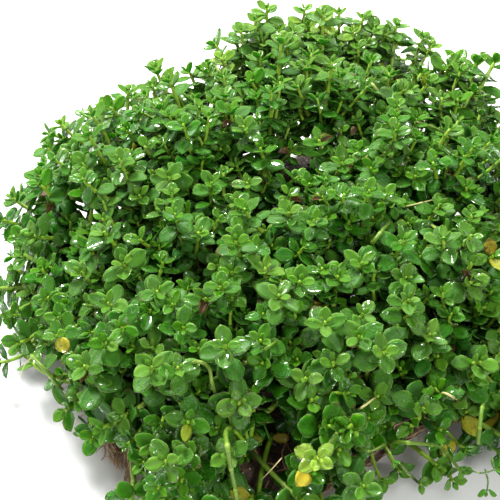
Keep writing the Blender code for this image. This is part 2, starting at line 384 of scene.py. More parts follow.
def buildLeafTissue():
    material, tree, shader = newMaterial("leafTissue")
    look = leafLook
    along, across, side = readPoint(tree, "leafPlace")
    tone, age, yellow = readPoint(tree, "leafLook")
    burn, seed, wet = readPoint(tree, "leafState")

    # young to old, then paler and darker plants by tone, which also carries painted light at the back
    # and painted shade on sunk and low shoots
    colour = blendColour(tree, ramp(tree, age, 0.0, 0.5), look["fresh"], look["mature"])
    colour = blendColour(tree, ramp(tree, age, 0.5, 1.0), colour, look["old"])
    shift = tree.nodes.new("ShaderNodeHueSaturation")
    hue = ramp(tree, tone, 0.0, 1.0, 0.512, 0.482)
    strength = ramp(tree, tone, 0.0, 1.0, 1.06, 0.92)
    bright = ramp(tree, tone, 0.0, 1.2, 0.80, 1.15)
    setInputs(tree, shift, Hue=hue, Saturation=strength, Value=bright, Color=colour)
    colour = shift.outputs["Color"]
    # tone over 1 turns pale: the yellow-green rosette in front, and painted light on the shoots at the
    # back
    colour = blendColour(tree, ramp(tree, tone, 1.0, 1.5, 0.0, 0.85), colour, look["pale"])

    # blotches, midrib, side veins, speckles and the pale edge, partly a paler margin and partly a
    # painted rim highlight
    ground = useGroup(tree, mottle, Colour=colour, Blotch_Colour=look["vein"], **look["mottle"])
    out = calc(tree, "ABSOLUTE", across)
    rib = ramp(tree, out, 0.02, 0.13, 1.0, 0.0)
    slant = minus(tree, times(tree, along, 6.5), times(tree, out, 2.0))
    wave = calc(tree, "PINGPONG", slant, 0.5)
    vein = times(tree, ramp(tree, wave, 0.03, 0.12, 1.0, 0.0), ramp(tree, out, 0.95, 0.6))
    veins = greater(tree, times(tree, rib, 0.30), times(tree, vein, 0.10))
    colour = blendColour(tree, veins, ground["Colour"], look["vein"])
    dots = ramp(tree, cellsAt(tree, 2700.0), 0.14, 0.34, 0.50, 0.0)
    colour = blendColour(tree, dots, colour, look["speckle"])
    # pale edge and tip: a paler margin with a painted rim highlight
    edge = greater(tree, ramp(tree, out, 0.87, 0.99), ramp(tree, along, 0.95, 0.995))
    colour = blendColour(tree, times(tree, edge, 0.72), colour, look["margin"])
    below = ramp(tree, side, 0.0, -0.8)
    colour = blendColour(tree, times(tree, below, 0.6), colour, look["underside"])

    # age: yellowing from the edge, brown spots, scorched tips
    worn = noiseAt(tree, 900.0, 3.0)
    turned = times(tree, yellow, ramp(tree, plus(tree, worn, edge), 0.15, 0.6, 0.7, 1.0))
    colour = blendColour(tree, turned, colour, look["yellow"])
    spots = times(tree, yellow, ramp(tree, worn, 0.62, 0.68, 0.0, 0.85))
    tips = ramp(tree, plus(tree, along, times(tree, worn, 0.5)), 1.02, 1.12)
    scorched = greater(tree, spots, times(tree, burn, tips))
    scorched = greater(tree, scorched, ramp(tree, burn, 0.85, 1.0))
    bark = blendColour(tree, ramp(tree, seed, 0.3, 0.7), look["brown"], look["russet"])
    colour = blendColour(tree, scorched, colour, bark)

    film = useGroup(tree, wetFilm, Amount=wet, **look["film"])
    dull = noiseAt(tree, 700.0, 3.0)
    dull = ramp(tree, dull, 0.3, 0.7, look["roughness"] - 0.07, look["roughness"] + 0.08)
    rough = between(tree, film["Film"], dull, look["wetRoughness"])
    tree.links.new(film["Film"], shader.inputs["Coat Weight"])
    setFixed(shader, look["fixed"])
    skin = useGroup(tree, cellGrain, **look["grain"])["Height"]
    height = plus(tree, times(tree, skin, 0.25), times(tree, veins, -0.4))
    dress(tree, shader, colour, rough, plus(tree, height, film["Beads"]), look["relief"])
    return material


# Stem

stemLook = {
    "fresh": (0.210, 0.400, 0.014),
    "mature": (0.150, 0.290, 0.014),
    "old": (0.016, 0.062, 0.007),
    "pale": (0.400, 0.520, 0.090),
    "dry": (0.620, 0.480, 0.250),
    "roughness": 0.34,
    "relief": 0.06 * mm,
    "mottle": {"Amount": 0.25, "Scale": 500.0},
    "film": {"Patch_Scale": 420.0, "Bead_Scale": 1900.0},
    "grain": {"Scale": 2600.0, "Softness": 0.6},
    "fixed": {
        "Coat Roughness": 0.07,
        "Coat IOR": 1.33,
        "Specular IOR Level": 0.32,
        "Subsurface Weight": 0.15,
        "Subsurface Radius": (0.5, 1.0, 0.15),
        "Subsurface Scale": 1.0 * mm,
    },
}


def buildStemTissue():
    material, tree, shader = newMaterial("stemTissue")
    look = stemLook
    ridge = readPoint(tree, "leafPlace")[2]
    tone, age, dry = readPoint(tree, "leafLook")
    wet = readPoint(tree, "leafState")[2]
    colour = blendColour(tree, ramp(tree, age, 0.0, 0.45), look["fresh"], look["mature"])
    colour = blendColour(tree, ramp(tree, age, 0.62, 1.0), colour, look["old"])
    # paler with the shoot's tone, which also carries painted light at the back and painted shade on sunk
    # shoots
    colour = blendColour(tree, times(tree, tone, 0.35), colour, look["pale"])
    blotched = useGroup(tree, mottle, Colour=colour, Blotch_Colour=look["old"], **look["mottle"])
    knots = times(tree, ramp(tree, ridge, 0.5, 1.0), 0.4)
    colour = blendColour(tree, knots, blotched["Colour"], look["pale"])
    colour = blendColour(tree, dry, colour, look["dry"])
    film = useGroup(tree, wetFilm, Amount=wet, **look["film"])
    rough = ramp(tree, noiseAt(tree, 900.0), 0.3, 0.7, look["roughness"] - 0.08, look["roughness"] + 0.1)
    tree.links.new(times(tree, film["Film"], 0.8), shader.inputs["Coat Weight"])
    setFixed(shader, look["fixed"])
    skin = useGroup(tree, cellGrain, **look["grain"])["Height"]
    dress(tree, shader, colour, rough, plus(tree, skin, film["Beads"]), look["relief"])
    return material


leafTissue = buildLeafTissue()
stemTissue = buildStemTissue()
print("leaf and stem materials built")


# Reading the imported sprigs: foot, fork and the crown of every shoot

sprigSet = {
    "footWidth": 1.8 * mm,
    "footDown": -0.999,  # the foot's face looks straight down
    "crownEdges": 18,  # only the crown of a whorl has so many
    "weld": 1e-6,
}


def weldedSolid(name):
    # The solid of a node with its corners joined
    solid = bmesh.new()
    solid.from_mesh(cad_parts[name].data)
    bmesh.ops.remove_doubles(solid, verts=solid.verts, dist=sprigSet["weld"])
    solid.verts.index_update()
    return solid


def middleOf(verts):
    # Summed in a fixed order, so that it is the same in every run
    verts = sorted(verts, key=lambda vert: vert.index)
    return sum((vert.co for vert in verts), Vector()) / len(verts)


def readSprig(name):
    solid = weldedSolid(name)
    footArea = sprigSet["footWidth"] ** 2 / 2
    footFaces = [f for f in solid.faces
                 if f.normal.z < sprigSet["footDown"] and abs(f.calc_area() / footArea - 1.0) < 0.1]
    footVerts = {v for f in footFaces for v in f.verts}
    ring = {e.other_vert(v) for v in footVerts for e in v.link_edges} - footVerts
    foot, fork = middleOf(footVerts), middleOf(ring)
    crowns = []
    for vert in solid.verts:
        if len(vert.link_edges) < sprigSet["crownEdges"]:
            continue
        near = [e.other_vert(vert).co.copy() for e in vert.link_edges]
        near.sort(key=lambda co: (co - vert.co).length)
        middle = sum(near[:4], Vector()) / 4
        aim = (vert.co - middle).normalized()
        corner = near[0]
        beside = min(near[1:4], key=lambda co: (co - corner).length)
        way = ((corner + beside) / 2 - middle).normalized()
        crowns.append({"tip": vert.co.copy(), "aim": aim, "way": way})
    crowns.sort(key=lambda crown: -crown["tip"].z)
    solid.free()
    return {"name": name, "foot": foot, "fork": fork, "crowns": crowns}


sprigs = [readSprig(name) for name in sorted(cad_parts) if name.startswith("sprig_")]
print("sprigs read:", len(sprigs), "with", sum(len(s["crowns"]) for s in sprigs), "shoots")


# Where shoots grow: the tips of the solids, and smaller ones between them

shootSet = {
    "betweenCount": 290,  # shoots set between two tips
    "overCount": 300,  # shoots set anywhere over the mat that is still bare
    "lowCount": 190,  # short shoots in the shade under the others
    "tries": 20000,
    "fillGap": 3.5 * mm,  # least distance between two tips
    "lowGap": 5.6 * mm,
    "fillSink": (0.2, 8.0),  # mm below the line between two tips
    "fillTone": (2.0, 2.4),  # the two shapes of a beta distribution
    # painted shade: shoots set deeper under the tips get a darker tone
    "sunkPaintedShade": 0.10,
    "betweenShare": (0.25, 0.75),  # of the way from one tip to the other
    "tipWander": 1.2 * mm,
    "aimWander": {"between": 0.4, "over": 0.45, "low": 0.8},
    "lowHeight": (13.0, 27.0),  # mm above the floor
    "lowReach": 0.08,  # added to the share of the half width that is over the mat
    # their low tone is painted shade under the other shoots
    "lowLook": {"size": (0.9, 1.15), "tone": (0.0, 0.35), "open": (0.1, 0.5)},
    "bareReach": 8.0 * mm,  # out of the mat, no filling further than this from a tip of a sprig
    "matShare": 0.72,  # share of the clump's half width that is over the mat
    "lowestFill": 7.0 * mm,
    "neighbours": 8,
    "openFrom": 6.0 * mm,  # a shoot with no neighbour this near stretches
    "openTo": 11.0 * mm,
    "drawnOut": 0.34,  # share of the shoots that stretch anyway
    "drawnOpen": (0.2, 0.7),
    "closeOpen": (0.0, 0.15),
    "hanging": 24.0 * mm,  # below this height shoots stay close-leaved
    "hangingOpen": 0.22,
    "openNeighbours": 3,
    "snap": 6.5 * mm,  # a marked shoot takes over the tip of a sprig this near
    "canopyNeighbours": 4,
    "canopyGuess": 35.0 * mm,
    "canopyRounds": 4,
    "gapTurn": 0.6,  # radians
    "gapOpen": 0.1,
    "backPaintedLight": 0.75,  # added to the tone of shoots at the very back, painted light that makes the back paler
    "backPaintedLightAge": 0.30,  # taken off the age of their leaves, whose fresher colour is painted light at the back
    "cleared": 0.85,  # share of a bare place that leaves do not reach over either
    "middleSize": 0.86,  # size of leaves in the middle of the clump and at its rim
    "rimSize": 1.10,
    "backSize": 0.12,  # added at the very back
    "sizeRange": (0.84, 1.14),
    "sprigSize": 1.04,  # shoots at the tips of the solids are a little larger
    "sprigTone": (2.2, 2.2),
    "standingSize": (0.86, 1.04),
    # the standing shoots along the back are paler: painted light
    "standingToneWithPaintedLight": (0.7, 1.15),
}

# Where no more shoots are set: the pixel in the middle of each place and how far round it, in pixels
barePlaces = {
    "belowTheLeftRunner": (20, 405, 42),
    "leftOfTheFrontEdge": (66, 480, 48),
    "fibresAtTheLeftEdge": (118, 455, 17),
    "fibresUnderThem": (119, 472, 16),
    "soilInFront": (262, 468, 32),
    "soilUnderTheYellow": (325, 492, 16),
    "soilFrontRight": (378, 462, 20),
    "soilRight": (414, 426, 22),
    "floorGapRight": (424, 454, 18),
    "floorGapBesideIt": (450, 431, 16),
    "floorInFront": (398, 492, 20),
    "floorFrontRight": (455, 508, 44),
}

# Shoots that catch the eye, by the pixel of their crown: size, tone, lean in degrees and its bearing
markedShoots = {
    "bigRosetteRight": (388, 138, 1.22, 0.80, 32, 270),
    "rosetteBackMiddle": (319, 140, 1.05, 0.55, 18, 200),
    "rosetteUnderIt": (342, 162, 1.02, 0.60, 22, 270),
    "wetRosetteLeft": (169, 177, 1.08, 0.85, 10, 250),
    "twinLeft": (212, 182, 1.00, 0.55, 18, 300),
    "smallLeft": (139, 195, 0.92, 0.60, 20, 240),
    "crownMiddle": (289, 212, 1.02, 0.75, 10, 270),
    "crownBesideIt": (314, 220, 0.90, 0.60, 15, 300),
    "openRosetteRight": (386, 194, 1.10, 0.55, 16, 285),
    "wetRosetteCentre": (265, 268, 1.10, 1.00, 10, 270),
    "rosetteRightCentre": (325, 322, 1.14, 0.75, 14, 270),
    "doubleRight": (385, 352, 1.10, 0.80, 24, 290),
    "brightRight": (430, 334, 1.08, 0.90, 22, 300),
    "rosetteFrontPale": (306, 378, 1.18, 0.95, 24, 265),
    "rosetteFrontOpen": (378, 396, 1.16, 0.70, 30, 280),
    "yellowFront": (318, 459, 0.90, 1.42, 42, 270),
    "rosetteFrontLeft": (239, 403, 1.12, 0.95, 26, 265),
    "roundLeftLow": (84, 366, 1.22, 0.80, 34, 240),
    "rosetteLeftLow": (151, 367, 1.16, 0.90, 26, 255),
    "threeLeaves": (81, 272, 1.06, 0.85, 30, 215),
    "brightLeftEdge": (30, 291, 1.10, 0.75, 34, 200),
    "rosetteLeft": (108, 303, 1.10, 0.75, 22, 240),
    "uprightFront": (228, 455, 1.14, 0.85, 34, 265),
    "lowFrontLeft": (164, 462, 1.18, 0.85, 38, 250),
    "rightEdge": (472, 282, 1.14, 0.80, 30, 320),
    "rightLow": (481, 362, 1.10, 0.80, 36, 310),
    "rightFront": (424, 408, 1.10, 0.70, 36, 290),
    "middleLeft": (206, 298, 1.00, 0.70, 14, 260),
    "middleLow": (225, 345, 1.04, 0.60, 20, 255),
    "centreRight": (362, 262, 1.02, 0.60, 16, 290),
    "overTheGap": (300, 281, 0.98, 0.60, 20, 270),
    "frontBesideYellow": (340, 450, 1.10, 0.60, 38, 285),
    "frontOverTheEdge": (352, 432, 1.06, 0.55, 30, 280),
    "inTheHollow": (157, 291, 1.00, 0.60, 16, 250),
    "besideTheHollow": (172, 304, 0.95, 0.50, 20, 280),
}

# Shoots that hang over the edge: pixel of the crown, height in mm, size, tone, lean and its bearing
hangingShoots = {
    "droopingLeft": (86, 434, 8.0, 0.82, 0.60, 72, 255),
    "besideTheDrooping": (74, 403, 11.0, 1.00, 0.40, 55, 225),
    "overTheUpright": (485, 401, 16.0, 1.00, 0.75, 28, 290),
    "overTheFork": (246, 430, 17.0, 1.08, 0.55, 34, 265),
    "besideTheUpright": (245, 456, 12.0, 0.86, 0.45, 40, 280),
    "betweenTheGaps": (438, 446, 11.0, 1.10, 0.05, 44, 280),
    "overTheStemRight": (441, 430, 18.0, 0.95, 0.10, 40, 285),
    "overTheEdgeInFront": (361, 474, 8.0, 1.05, 0.10, 52, 275),
    "oliveInFront": (382, 480, 7.0, 0.90, 0.55, 58, 290),
}

# Shoots set last, where a gap shows: pixel of the crown, size, tone, lean and its bearing
gapShoots = {
    "inTheDip": (338, 276, 1.00, 0.55, 16, 280),
    "besideTheDip": (322, 268, 0.90, 0.40, 20, 240),
}

# Shoots that stand against the light along the back, from left to right: pixel of the crown,
# height in mm, lean and its bearing
standingShoots = (
    (241, 30, 46, 14, 120), (255, 20, 47, 10, 100), (267, 8, 47, 8, 70), (262, 38, 44, 18, 200),
    (278, 29, 44, 12, 150), (293, 31, 45, 15, 40), (305, 9, 46, 14, 60), (308, 27, 44, 20, 220),
    (319, 37, 43, 12, 300), (331, 45, 43, 15, 30), (339, 12, 46, 12, 100), (352, 31, 44, 18, 160),
    (363, 17, 45, 16, 70), (366, 42, 42, 10, 330), (375, 27, 44, 18, 30), (387, 33, 43, 22, 350),
    (397, 24, 44, 20, 60), (424, 36, 42, 24, 40), (432, 46, 41, 26, 10), (462, 70, 40, 28, 20),
)


def canopyHeight(flat, grown, point):
    # How high the shoots round a place reach
    near = flat.find_n(Vector((point.x, point.y, 0.0)), shootSet["canopyNeighbours"])
    return sum(grown[index]["tip"].z for _, index, _ in near) / len(near)


def placeShare(point):
    # 0 in the middle of the clump and 1 at its rim
    return min(math.hypot(point.x / cadHigh.x, point.y / cadHigh.y), 1.0)


def backShare(point):
    # 0 from the front to the middle and 1 at the very back
    return max(point.y / cadHigh.y, 0.0) ** 2


# a shoot's tone, made paler towards the back of the clump as painted light
def toneWithPaintedLight(point, tone):
    return tone + shootSet["backPaintedLight"] * backShare(point)


def sizeAt(point, rng):
    share = placeShare(point)
    size = shootSet["middleSize"] + (shootSet["rimSize"] - shootSet["middleSize"]) * share**2
    size += shootSet["backSize"] * backShare(point)
    return size * rng.uniform(*shootSet["sizeRange"])


def leafWay(aim, turn):
    side = aim.cross(up)
    side = side.normalized() if side.length > 0.05 else Vector((1.0, 0.0, 0.0))
    return Matrix.Rotation(turn, 3, aim) @ side


def leaningAim(lean, bearing):
    lean, bearing = math.radians(lean), math.radians(bearing)
    level = Vector((math.cos(bearing), math.sin(bearing), 0.0))
    return level * math.sin(lean) + up * math.cos(lean)


def jitter(rng, most):
    return Vector((rng.uniform(-1, 1), rng.uniform(-1, 1), rng.uniform(-1, 1))) * most


def anywhere(rng):
    return Vector((rng.uniform(cadLow.x, cadHigh.x), rng.uniform(cadLow.y, cadHigh.y), 0.0))


def planShoots(rng):
    shoots = []
    for number, sprig in enumerate(sprigs):
        for rank, crown in enumerate(sprig["crowns"]):
            shoots.append({
                **crown,
                "sprig": number,
                "kind": "leader" if rank == 0 else "side",
                "size": sizeAt(crown["tip"], rng) * shootSet["sprigSize"],
                "tone": toneWithPaintedLight(crown["tip"], rng.betavariate(*shootSet["sprigTone"])),
            })
    return shoots


def treeOf(places):
    tree = KDTree(len(places))
    for index, place in enumerate(places):
        tree.insert(place, index)
    tree.balance()
    return tree


def flatTree(shoots):
    return treeOf([Vector((shoot["tip"].x, shoot["tip"].y, 0.0)) for shoot in shoots])


def fullTree(shoots):
    return treeOf([shoot["tip"] for shoot in shoots])


def nearestSprig(point):
    # The sprig whose fork lies nearest under a point
    def away(sprig):
        offset = point - sprig["fork"]
        return math.hypot(offset.x, offset.y) + max(0.0, -offset.z) * 2.0
    return min(range(len(sprigs)), key=lambda index: away(sprigs[index]))


def newShoot(kind, tip, aim, turn, **look):
    # A shoot that branches off the sprig nearest to it
    shoot = {"sprig": nearestSprig(tip), "kind": kind, "tip": tip, "aim": aim}
    return {**shoot, "way": leafWay(aim, turn), **look}


def onCanopy(x, y, lift):
    # The point at a pixel that lies just over the tips of the sprigs
    place = underPixel(x, y, shootSet["canopyGuess"])
    for _ in range(shootSet["canopyRounds"]):
        place = underPixel(x, y, canopyHeight(canopyTree, canopy, place) + lift)
    return place


def isBare(point, share=1.0):
    x, y = pixelOf(point)
    return any(math.hypot(x - middleX, y - middleY) < reach * share
               for middleX, middleY, reach in barePlaces.values())


def markShoots(shoots, rng):
    # A marked shoot takes over the tip of a sprig near it, and is a new shoot where there is none
    tree = fullTree(canopy)
    marks = [(onCanopy(x, y, 1.0 * mm), *rest) for x, y, *rest in markedShoots.values()]
    marks += [(underPixel(x, y, height * mm), *rest) for x, y, height, *rest in hangingShoots.values()]
    for x, y, height, lean, bearing in standingShoots:
        size, tone = rng.uniform(*shootSet["standingSize"]), rng.uniform(*shootSet["standingToneWithPaintedLight"])
        marks.append((underPixel(x, y, height * mm), size, tone, lean, bearing))
    taken = set()
    for place, size, tone, lean, bearing in marks:
        aim = leaningAim(lean, bearing)
        turn = rng.uniform(0, math.tau)
        look = newShoot("fill", place, aim, turn, size=size, tone=tone, marked=True)
        near = [index for _, index, away in tree.find_n(place, 3)
                if index not in taken and away < shootSet["snap"]]
        if near:
            taken.add(near[0])
            kept = shoots[near[0]]
            kept.update({**look, "sprig": kept["sprig"], "kind": kept["kind"]})
        else:
            shoots.append(look)


def addFill(shoots, planted, tip, aim, sink, rng):
    # One small shoot, where there is room for it
    if tip.z < shootSet["lowestFill"] or isBare(tip):
        return False
    if min((tip - other).length for other in planted) < shootSet["fillGap"]:
        return False
    planted.append(tip)
    turn, size = rng.uniform(0, math.tau), sizeAt(tip, rng)
    # tone lowered with the sink, as painted shade under the canopy
    tone = toneWithPaintedLight(tip, rng.betavariate(*shootSet["fillTone"]) - shootSet["sunkPaintedShade"] * sink)
    shoots.append(newShoot("fill", tip, aim, turn, size=size, tone=tone, sink=sink))
    return True


def fillShoots(shoots, rng):
    first = list(shoots)
    planted = [shoot["tip"] for shoot in first]
    tree, flat = fullTree(first), flatTree(first)
    low, high = shootSet["fillSink"]
    wander = shootSet["aimWander"]
    added = 0
    for _ in range(shootSet["tries"]):
        if added == shootSet["betweenCount"]:
            break
        one = first[rng.randrange(len(first))]
        near = tree.find_n(one["tip"], shootSet["neighbours"])[1:]
        other = first[rng.choice(near)[1]]
        share = rng.uniform(*shootSet["betweenShare"])
        sink = rng.uniform(0.0, 1.0) ** 1.5
        aim = (one["aim"].lerp(other["aim"], share) + jitter(rng, wander["between"])).normalized()
        tip = one["tip"].lerp(other["tip"], share) + jitter(rng, shootSet["tipWander"])
        tip -= aim * (low + (high - low) * sink) * mm
        added += addFill(shoots, planted, tip, aim, sink, rng)
    added = 0
    for _ in range(shootSet["tries"]):
        if added == shootSet["overCount"]:
            break
        point = anywhere(rng)
        hits = flat.find_n(point, 3)
        if hits[0][2] > shootSet["bareReach"] and placeShare(point) > shootSet["matShare"]:
            continue
        sink = rng.uniform(0.0, 1.0) ** 1.3
        aim = sum((first[index]["aim"] for _, index, _ in hits), Vector())
        aim = (aim.normalized() + jitter(rng, wander["over"])).normalized()
        point.z = canopyHeight(flat, first, point) - (low + (high - low) * sink) * mm
        added += addFill(shoots, planted, point, aim, sink, rng)


def openShoots(shoots, rng):
    # Shoots that stand alone are drawn out, with longer gaps between their leaves
    tree = fullTree(shoots)
    for shoot in shoots:
        near = tree.find_n(shoot["tip"], 1 + shootSet["openNeighbours"])[1:]
        gap = sum(away for _, _, away in near) / len(near)
        span = shootSet["openTo"] - shootSet["openFrom"]
        alone = min(max((gap - shootSet["openFrom"]) / span, 0.0), 1.0)
        stretched = rng.random() < shootSet["drawnOut"]
        drawn = rng.uniform(*shootSet["drawnOpen" if stretched else "closeOpen"])
        shoot["open"] = max(alone, 0.0 if shoot.get("marked") else drawn)
        if shoot["tip"].z < shootSet["hanging"]:
            shoot["open"] = min(shoot["open"], shootSet["hangingOpen"])


def lowShoots(shoots, rng):
    # Short shoots that close the gaps above the soil, their low tone painted shade
    low, high = shootSet["lowHeight"]
    planted = []
    for _ in range(shootSet["tries"]):
        if len(planted) == shootSet["lowCount"]:
            break
        point = anywhere(rng)
        if placeShare(point) > shootSet["matShare"] + shootSet["lowReach"]:
            continue
        point.z = rng.uniform(low, high) * mm
        if isBare(point):
            continue
        if min(((point - other).length for other in planted), default=1.0) < shootSet["lowGap"]:
            continue
        planted.append(point)
        aim = (up + jitter(rng, shootSet["aimWander"]["low"])).normalized()
        turn = rng.uniform(0, math.tau)
        look = {key: rng.uniform(*span) for key, span in shootSet["lowLook"].items()}
        shoots.append(newShoot("low", point, aim, turn, **look))


def closeGaps(shoots):
    turn, opened = shootSet["gapTurn"], shootSet["gapOpen"]
    for x, y, size, tone, lean, bearing in gapShoots.values():
        tip, aim = onCanopy(x, y, 0.0), leaningAim(lean, bearing)
        shoots.append(newShoot("fill", tip, aim, turn, size=size, tone=tone, open=opened, marked=True))


rng = random.Random(31)
shoots = planShoots(rng)
canopy = [dict(shoot) for shoot in shoots]
canopyTree = flatTree(canopy)
markShoots(shoots, rng)
fillShoots(shoots, rng)
openShoots(shoots, rng)
lowShoots(shoots, rng)
closeGaps(shoots)
print("shoots planned:", len(shoots))


# Leaves and stems of one shoot

growSet = {
    # length, distance below the tip, rise above level, age and breadth of each pair, from the tip down
    "leafMm": (1.6, 2.8, 3.7, 4.3, 4.5, 4.5, 4.4, 4.2, 4.0, 3.7),
    "gapMm": (0.1, 0.5, 1.1, 2.2, 4.0, 6.2, 8.8, 11.6, 14.8, 18.2),
    "openGapMm": (0.1, 0.7, 2.0, 4.9, 8.7, 12.8, 17.2, 21.8, 26.4, 31.0),
    "rise": (54.0, 34.0, 20.0, 9.0, 2.0, -3.0, -7.0, -9.0, -10.0, -12.0),
    "age": (0.0, 0.14, 0.32, 0.50, 0.66, 0.80, 0.92, 1.0, 1.0, 1.0),
    "breadth": (0.62, 0.69, 0.74, 0.77, 0.79, 0.79, 0.78, 0.76, 0.74, 0.74),
    "turnWander": (0.22, 0.16),  # radians, of a pair and of each leaf of it
    "riseWander": (5.0, 11.0),  # degrees, of the two youngest pairs and of the others
    "rollWander": (0.06, 0.22),  # radians
    "gapWander": 0.08,
    "ageWander": 0.10,
    "toneWander": 0.14,
    "lengthRange": (0.84, 1.12),
    "breadthRange": (0.84, 1.18),
    "cup": ((0.18, 0.46), (0.0, 0.34)),  # of the three youngest pairs and of the others
    "bend": ((0.0, 0.18), (-0.20, 0.08)),
    "missing": 0.035,  # chance that a leaf has dropped off, times its rank
    "dead": 0.022,
    "deadRanks": (3, 4, 5),
    "deadLength": 0.5,
    "yellowing": 0.02,
    "yellowness": (0.3, 0.9),
    "scorching": (0.02, 0.015),  # at the tip, and more with each pair below it
    "burn": (0.5, 0.84),
    "wet": (0.50, 0.28),
    "deepFrom": 5,  # pairs from here down get the plainest mesh, and sooner on a shoot under others
    "sunkFrom": 3,
    "sunk": 0.5,
    "overBox": 1.2 * mm,  # how far a leaf may reach past the box of the solids
    "shortest": 0.6 * mm,
    "leafStart": 0.25 * mm,  # from the middle of the stem
    "forkGap": 2.5 * mm,  # no leaves so near to where the shoot branches off
    "midDepth": 15.0 * mm,  # no leaves further from the tip than this, in the middle of the clump
    "rimDepth": 25.0 * mm,  # and at its rim
    "lightSeeking": 0.30,
    "frontSeeking": 0.42,  # at the rim
    "backSeeking": 0.45,  # added at the very back
    "headingReach": 0.4 * mm,  # a stem's direction is read this far to both sides
    "ringGap": 3.2 * mm,
    "thickOver": 12.0 * mm,
    "knot": 1.22,
    "tipRadius": 0.28 * mm,
    "stemRadius": 0.48 * mm,
    "footRadius": 0.85 * mm,
    "floorGap": 0.5 * mm,
    "crossing": 4,  # points of a stem in a bare place, over which the shoot gets a root of its own
    "matTop": 8.5 * mm,
    "rootReach": 5.0 * mm,
    "depth": 34.0 * mm,  # a stem is oldest this far below its tip
    "soilShadeDepth": 14.0 * mm,  # and sooner where it lies over bare soil, darkening it there as painted shade
    "inward": (1.0, 0.93, 0.86, 0.79, 0.72, 0.65, 0.58, 0.5),  # where a root of its own is tried
    # points of a stem, and the shares of it that keep the direction of its foot and of its tip
    "leaderCurve": (40, 0.45, 0.28),
    "curve": (28, 0.35, 0.38),
    "leaderDepth": 1.2 * mm,  # below the foot of the solid
    "rootDepth": 1.0 * mm,
    "branchBelow": 9.0 * mm,  # a shoot leaves its plant at least so far below its tip
    "lowestBranch": 0.9,  # share of the way from the fork to the foot
}


def cubic(start, first, second, end, count):
    t = np.linspace(0.0, 1.0, count)[:, None]
    start, first, second, end = (np.array(p) for p in (start, first, second, end))
    return (
        (1 - t) ** 3 * start
        + 3 * t * (1 - t) ** 2 * first
        + 3 * t * t * (1 - t) * second
        + t**3 * end
    )


def stemCurve(start, rise, shoot, curve):
    # A stem that sets out in one direction and comes into the tip of its shoot along the aim
    points, atFoot, atTip = curve
    tip = shoot["tip"]
    away = (tip - start).length
    return cubic(start, start + rise * away * atFoot, tip - shoot["aim"] * away * atTip, tip, points)


def rootedPath(shoot):
    # A shoot that rises from the mat beside it, out of a root of its own
    tip = shoot["tip"]
    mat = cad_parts["root_mat"]
    for inward in growSet["inward"]:
        below = Vector((tip.x * inward, tip.y * inward, growSet["matTop"]))
        hit, start, _, _ = mat.closest_point_on_mesh(below)
        near = hit and (start - below).length < growSet["rootReach"]
        if near and not isBare(start, shootSet["cleared"]):
            return stemCurve(start - up * growSet["rootDepth"], up, shoot, growSet["curve"])
    return plantPath(shoot)


def shootPath(shoot):
    # From where the shoot leaves its plant to its tip, as points
    path = plantPath(shoot)
    if shoot["kind"] != "leader":
        crossing = sum(isBare(Vector(point), shootSet["cleared"]) for point in path[:-6])
        if crossing > growSet["crossing"]:
            return rootedPath(shoot)
    return path


def plantPath(shoot):
    # A leader rises from the foot of its plant, other shoots leave it at the fork or lower
    sprig = sprigs[shoot["sprig"]]
    tip = shoot["tip"]
    foot, fork = sprig["foot"], sprig["fork"]
    if shoot["kind"] == "leader":
        start = foot - up * growSet["leaderDepth"]
        return stemCurve(start, (fork - start).normalized(), shoot, growSet["leaderCurve"])
    start = fork.copy()
    if shoot["kind"] in ("fill", "low"):
        drop = min(max(tip.z - growSet["branchBelow"] - start.z, foot.z - start.z + 1.0 * mm), 0.0)
        share = drop / min(foot.z - start.z, -1e-6)
        start = start.lerp(foot, min(max(share, 0.0), growSet["lowestBranch"]))
    rise = (fork - foot).normalized()
    heading = (tip - start).normalized()
    return stemCurve(start, rise * 0.5 + heading * 0.5, shoot, growSet["curve"])


def walkPath(points):
    # Distance from the tip at each point, and a lookup for the place and heading at a distance
    steps = np.linalg.norm(np.diff(points, axis=0), axis=1)
    walked = np.concatenate([[0.0], np.cumsum(steps[::-1])])
    back = points[::-1]

    def placeAt(distance):
        return np.array([np.interp(distance, walked, back[:, axis]) for axis in range(3)])

    def at(distance):
        reach = growSet["headingReach"]
        heading = placeAt(max(distance - reach, 0.0)) - placeAt(distance + reach)
        return Vector(placeAt(distance)), Vector(heading).normalized()

    return walked[-1], at


def leafMesh(shoot, rank):
    deepFrom = growSet["sunkFrom"] if shoot.get("sink", 0.0) > growSet["sunk"] else growSet["deepFrom"]
    if rank >= deepFrom and shoot.get("marked"):
        return "plain"
    if rank >= deepFrom or rank == 0 or shoot["kind"] == "low":
        return "deep"
    return "fine" if shoot.get("marked") or placeShare(shoot["tip"]) > 0.8 else "plain"


def leafAt(place, heading, way, turn, rise, roll, long, light):
    # Where one leaf starts, which way it points and which way its upper side faces
    out = Matrix.Rotation(turn, 3, heading) @ way
    along = out * math.cos(rise) + heading * math.sin(rise)
    face = heading * math.cos(rise) - out * math.sin(rise)
    face = Matrix.Rotation(roll, 3, along) @ face
    face = (face + light).normalized()
    face = (face - along * face.dot(along) * 0.5).normalized()
    along = (along - face * along.dot(face)).normalized()
    origin = place + out * growSet["leafStart"]
    lowest = growSet["floorGap"] + 0.25 * long
    if origin.z + along.z * long < lowest:
        along.z = (lowest - origin.z) / long
        along.normalize()
        face = (face - along * face.dot(along)).normalized()
    return origin, along, face


def roomFor(origin, along, long):
    # A leaf that would reach out of the clump's box is shorter
    over = growSet["overBox"]
    for axis in range(3):
        end = origin[axis] + along[axis] * long
        if end > cadHigh[axis] + over:
            long = min(long, (cadHigh[axis] + over - origin[axis]) / along[axis])
        elif axis < 2 and end < cadLow[axis] - over:
            long = min(long, (cadLow[axis] - over - origin[axis]) / along[axis])
    return max(long, growSet["shortest"])


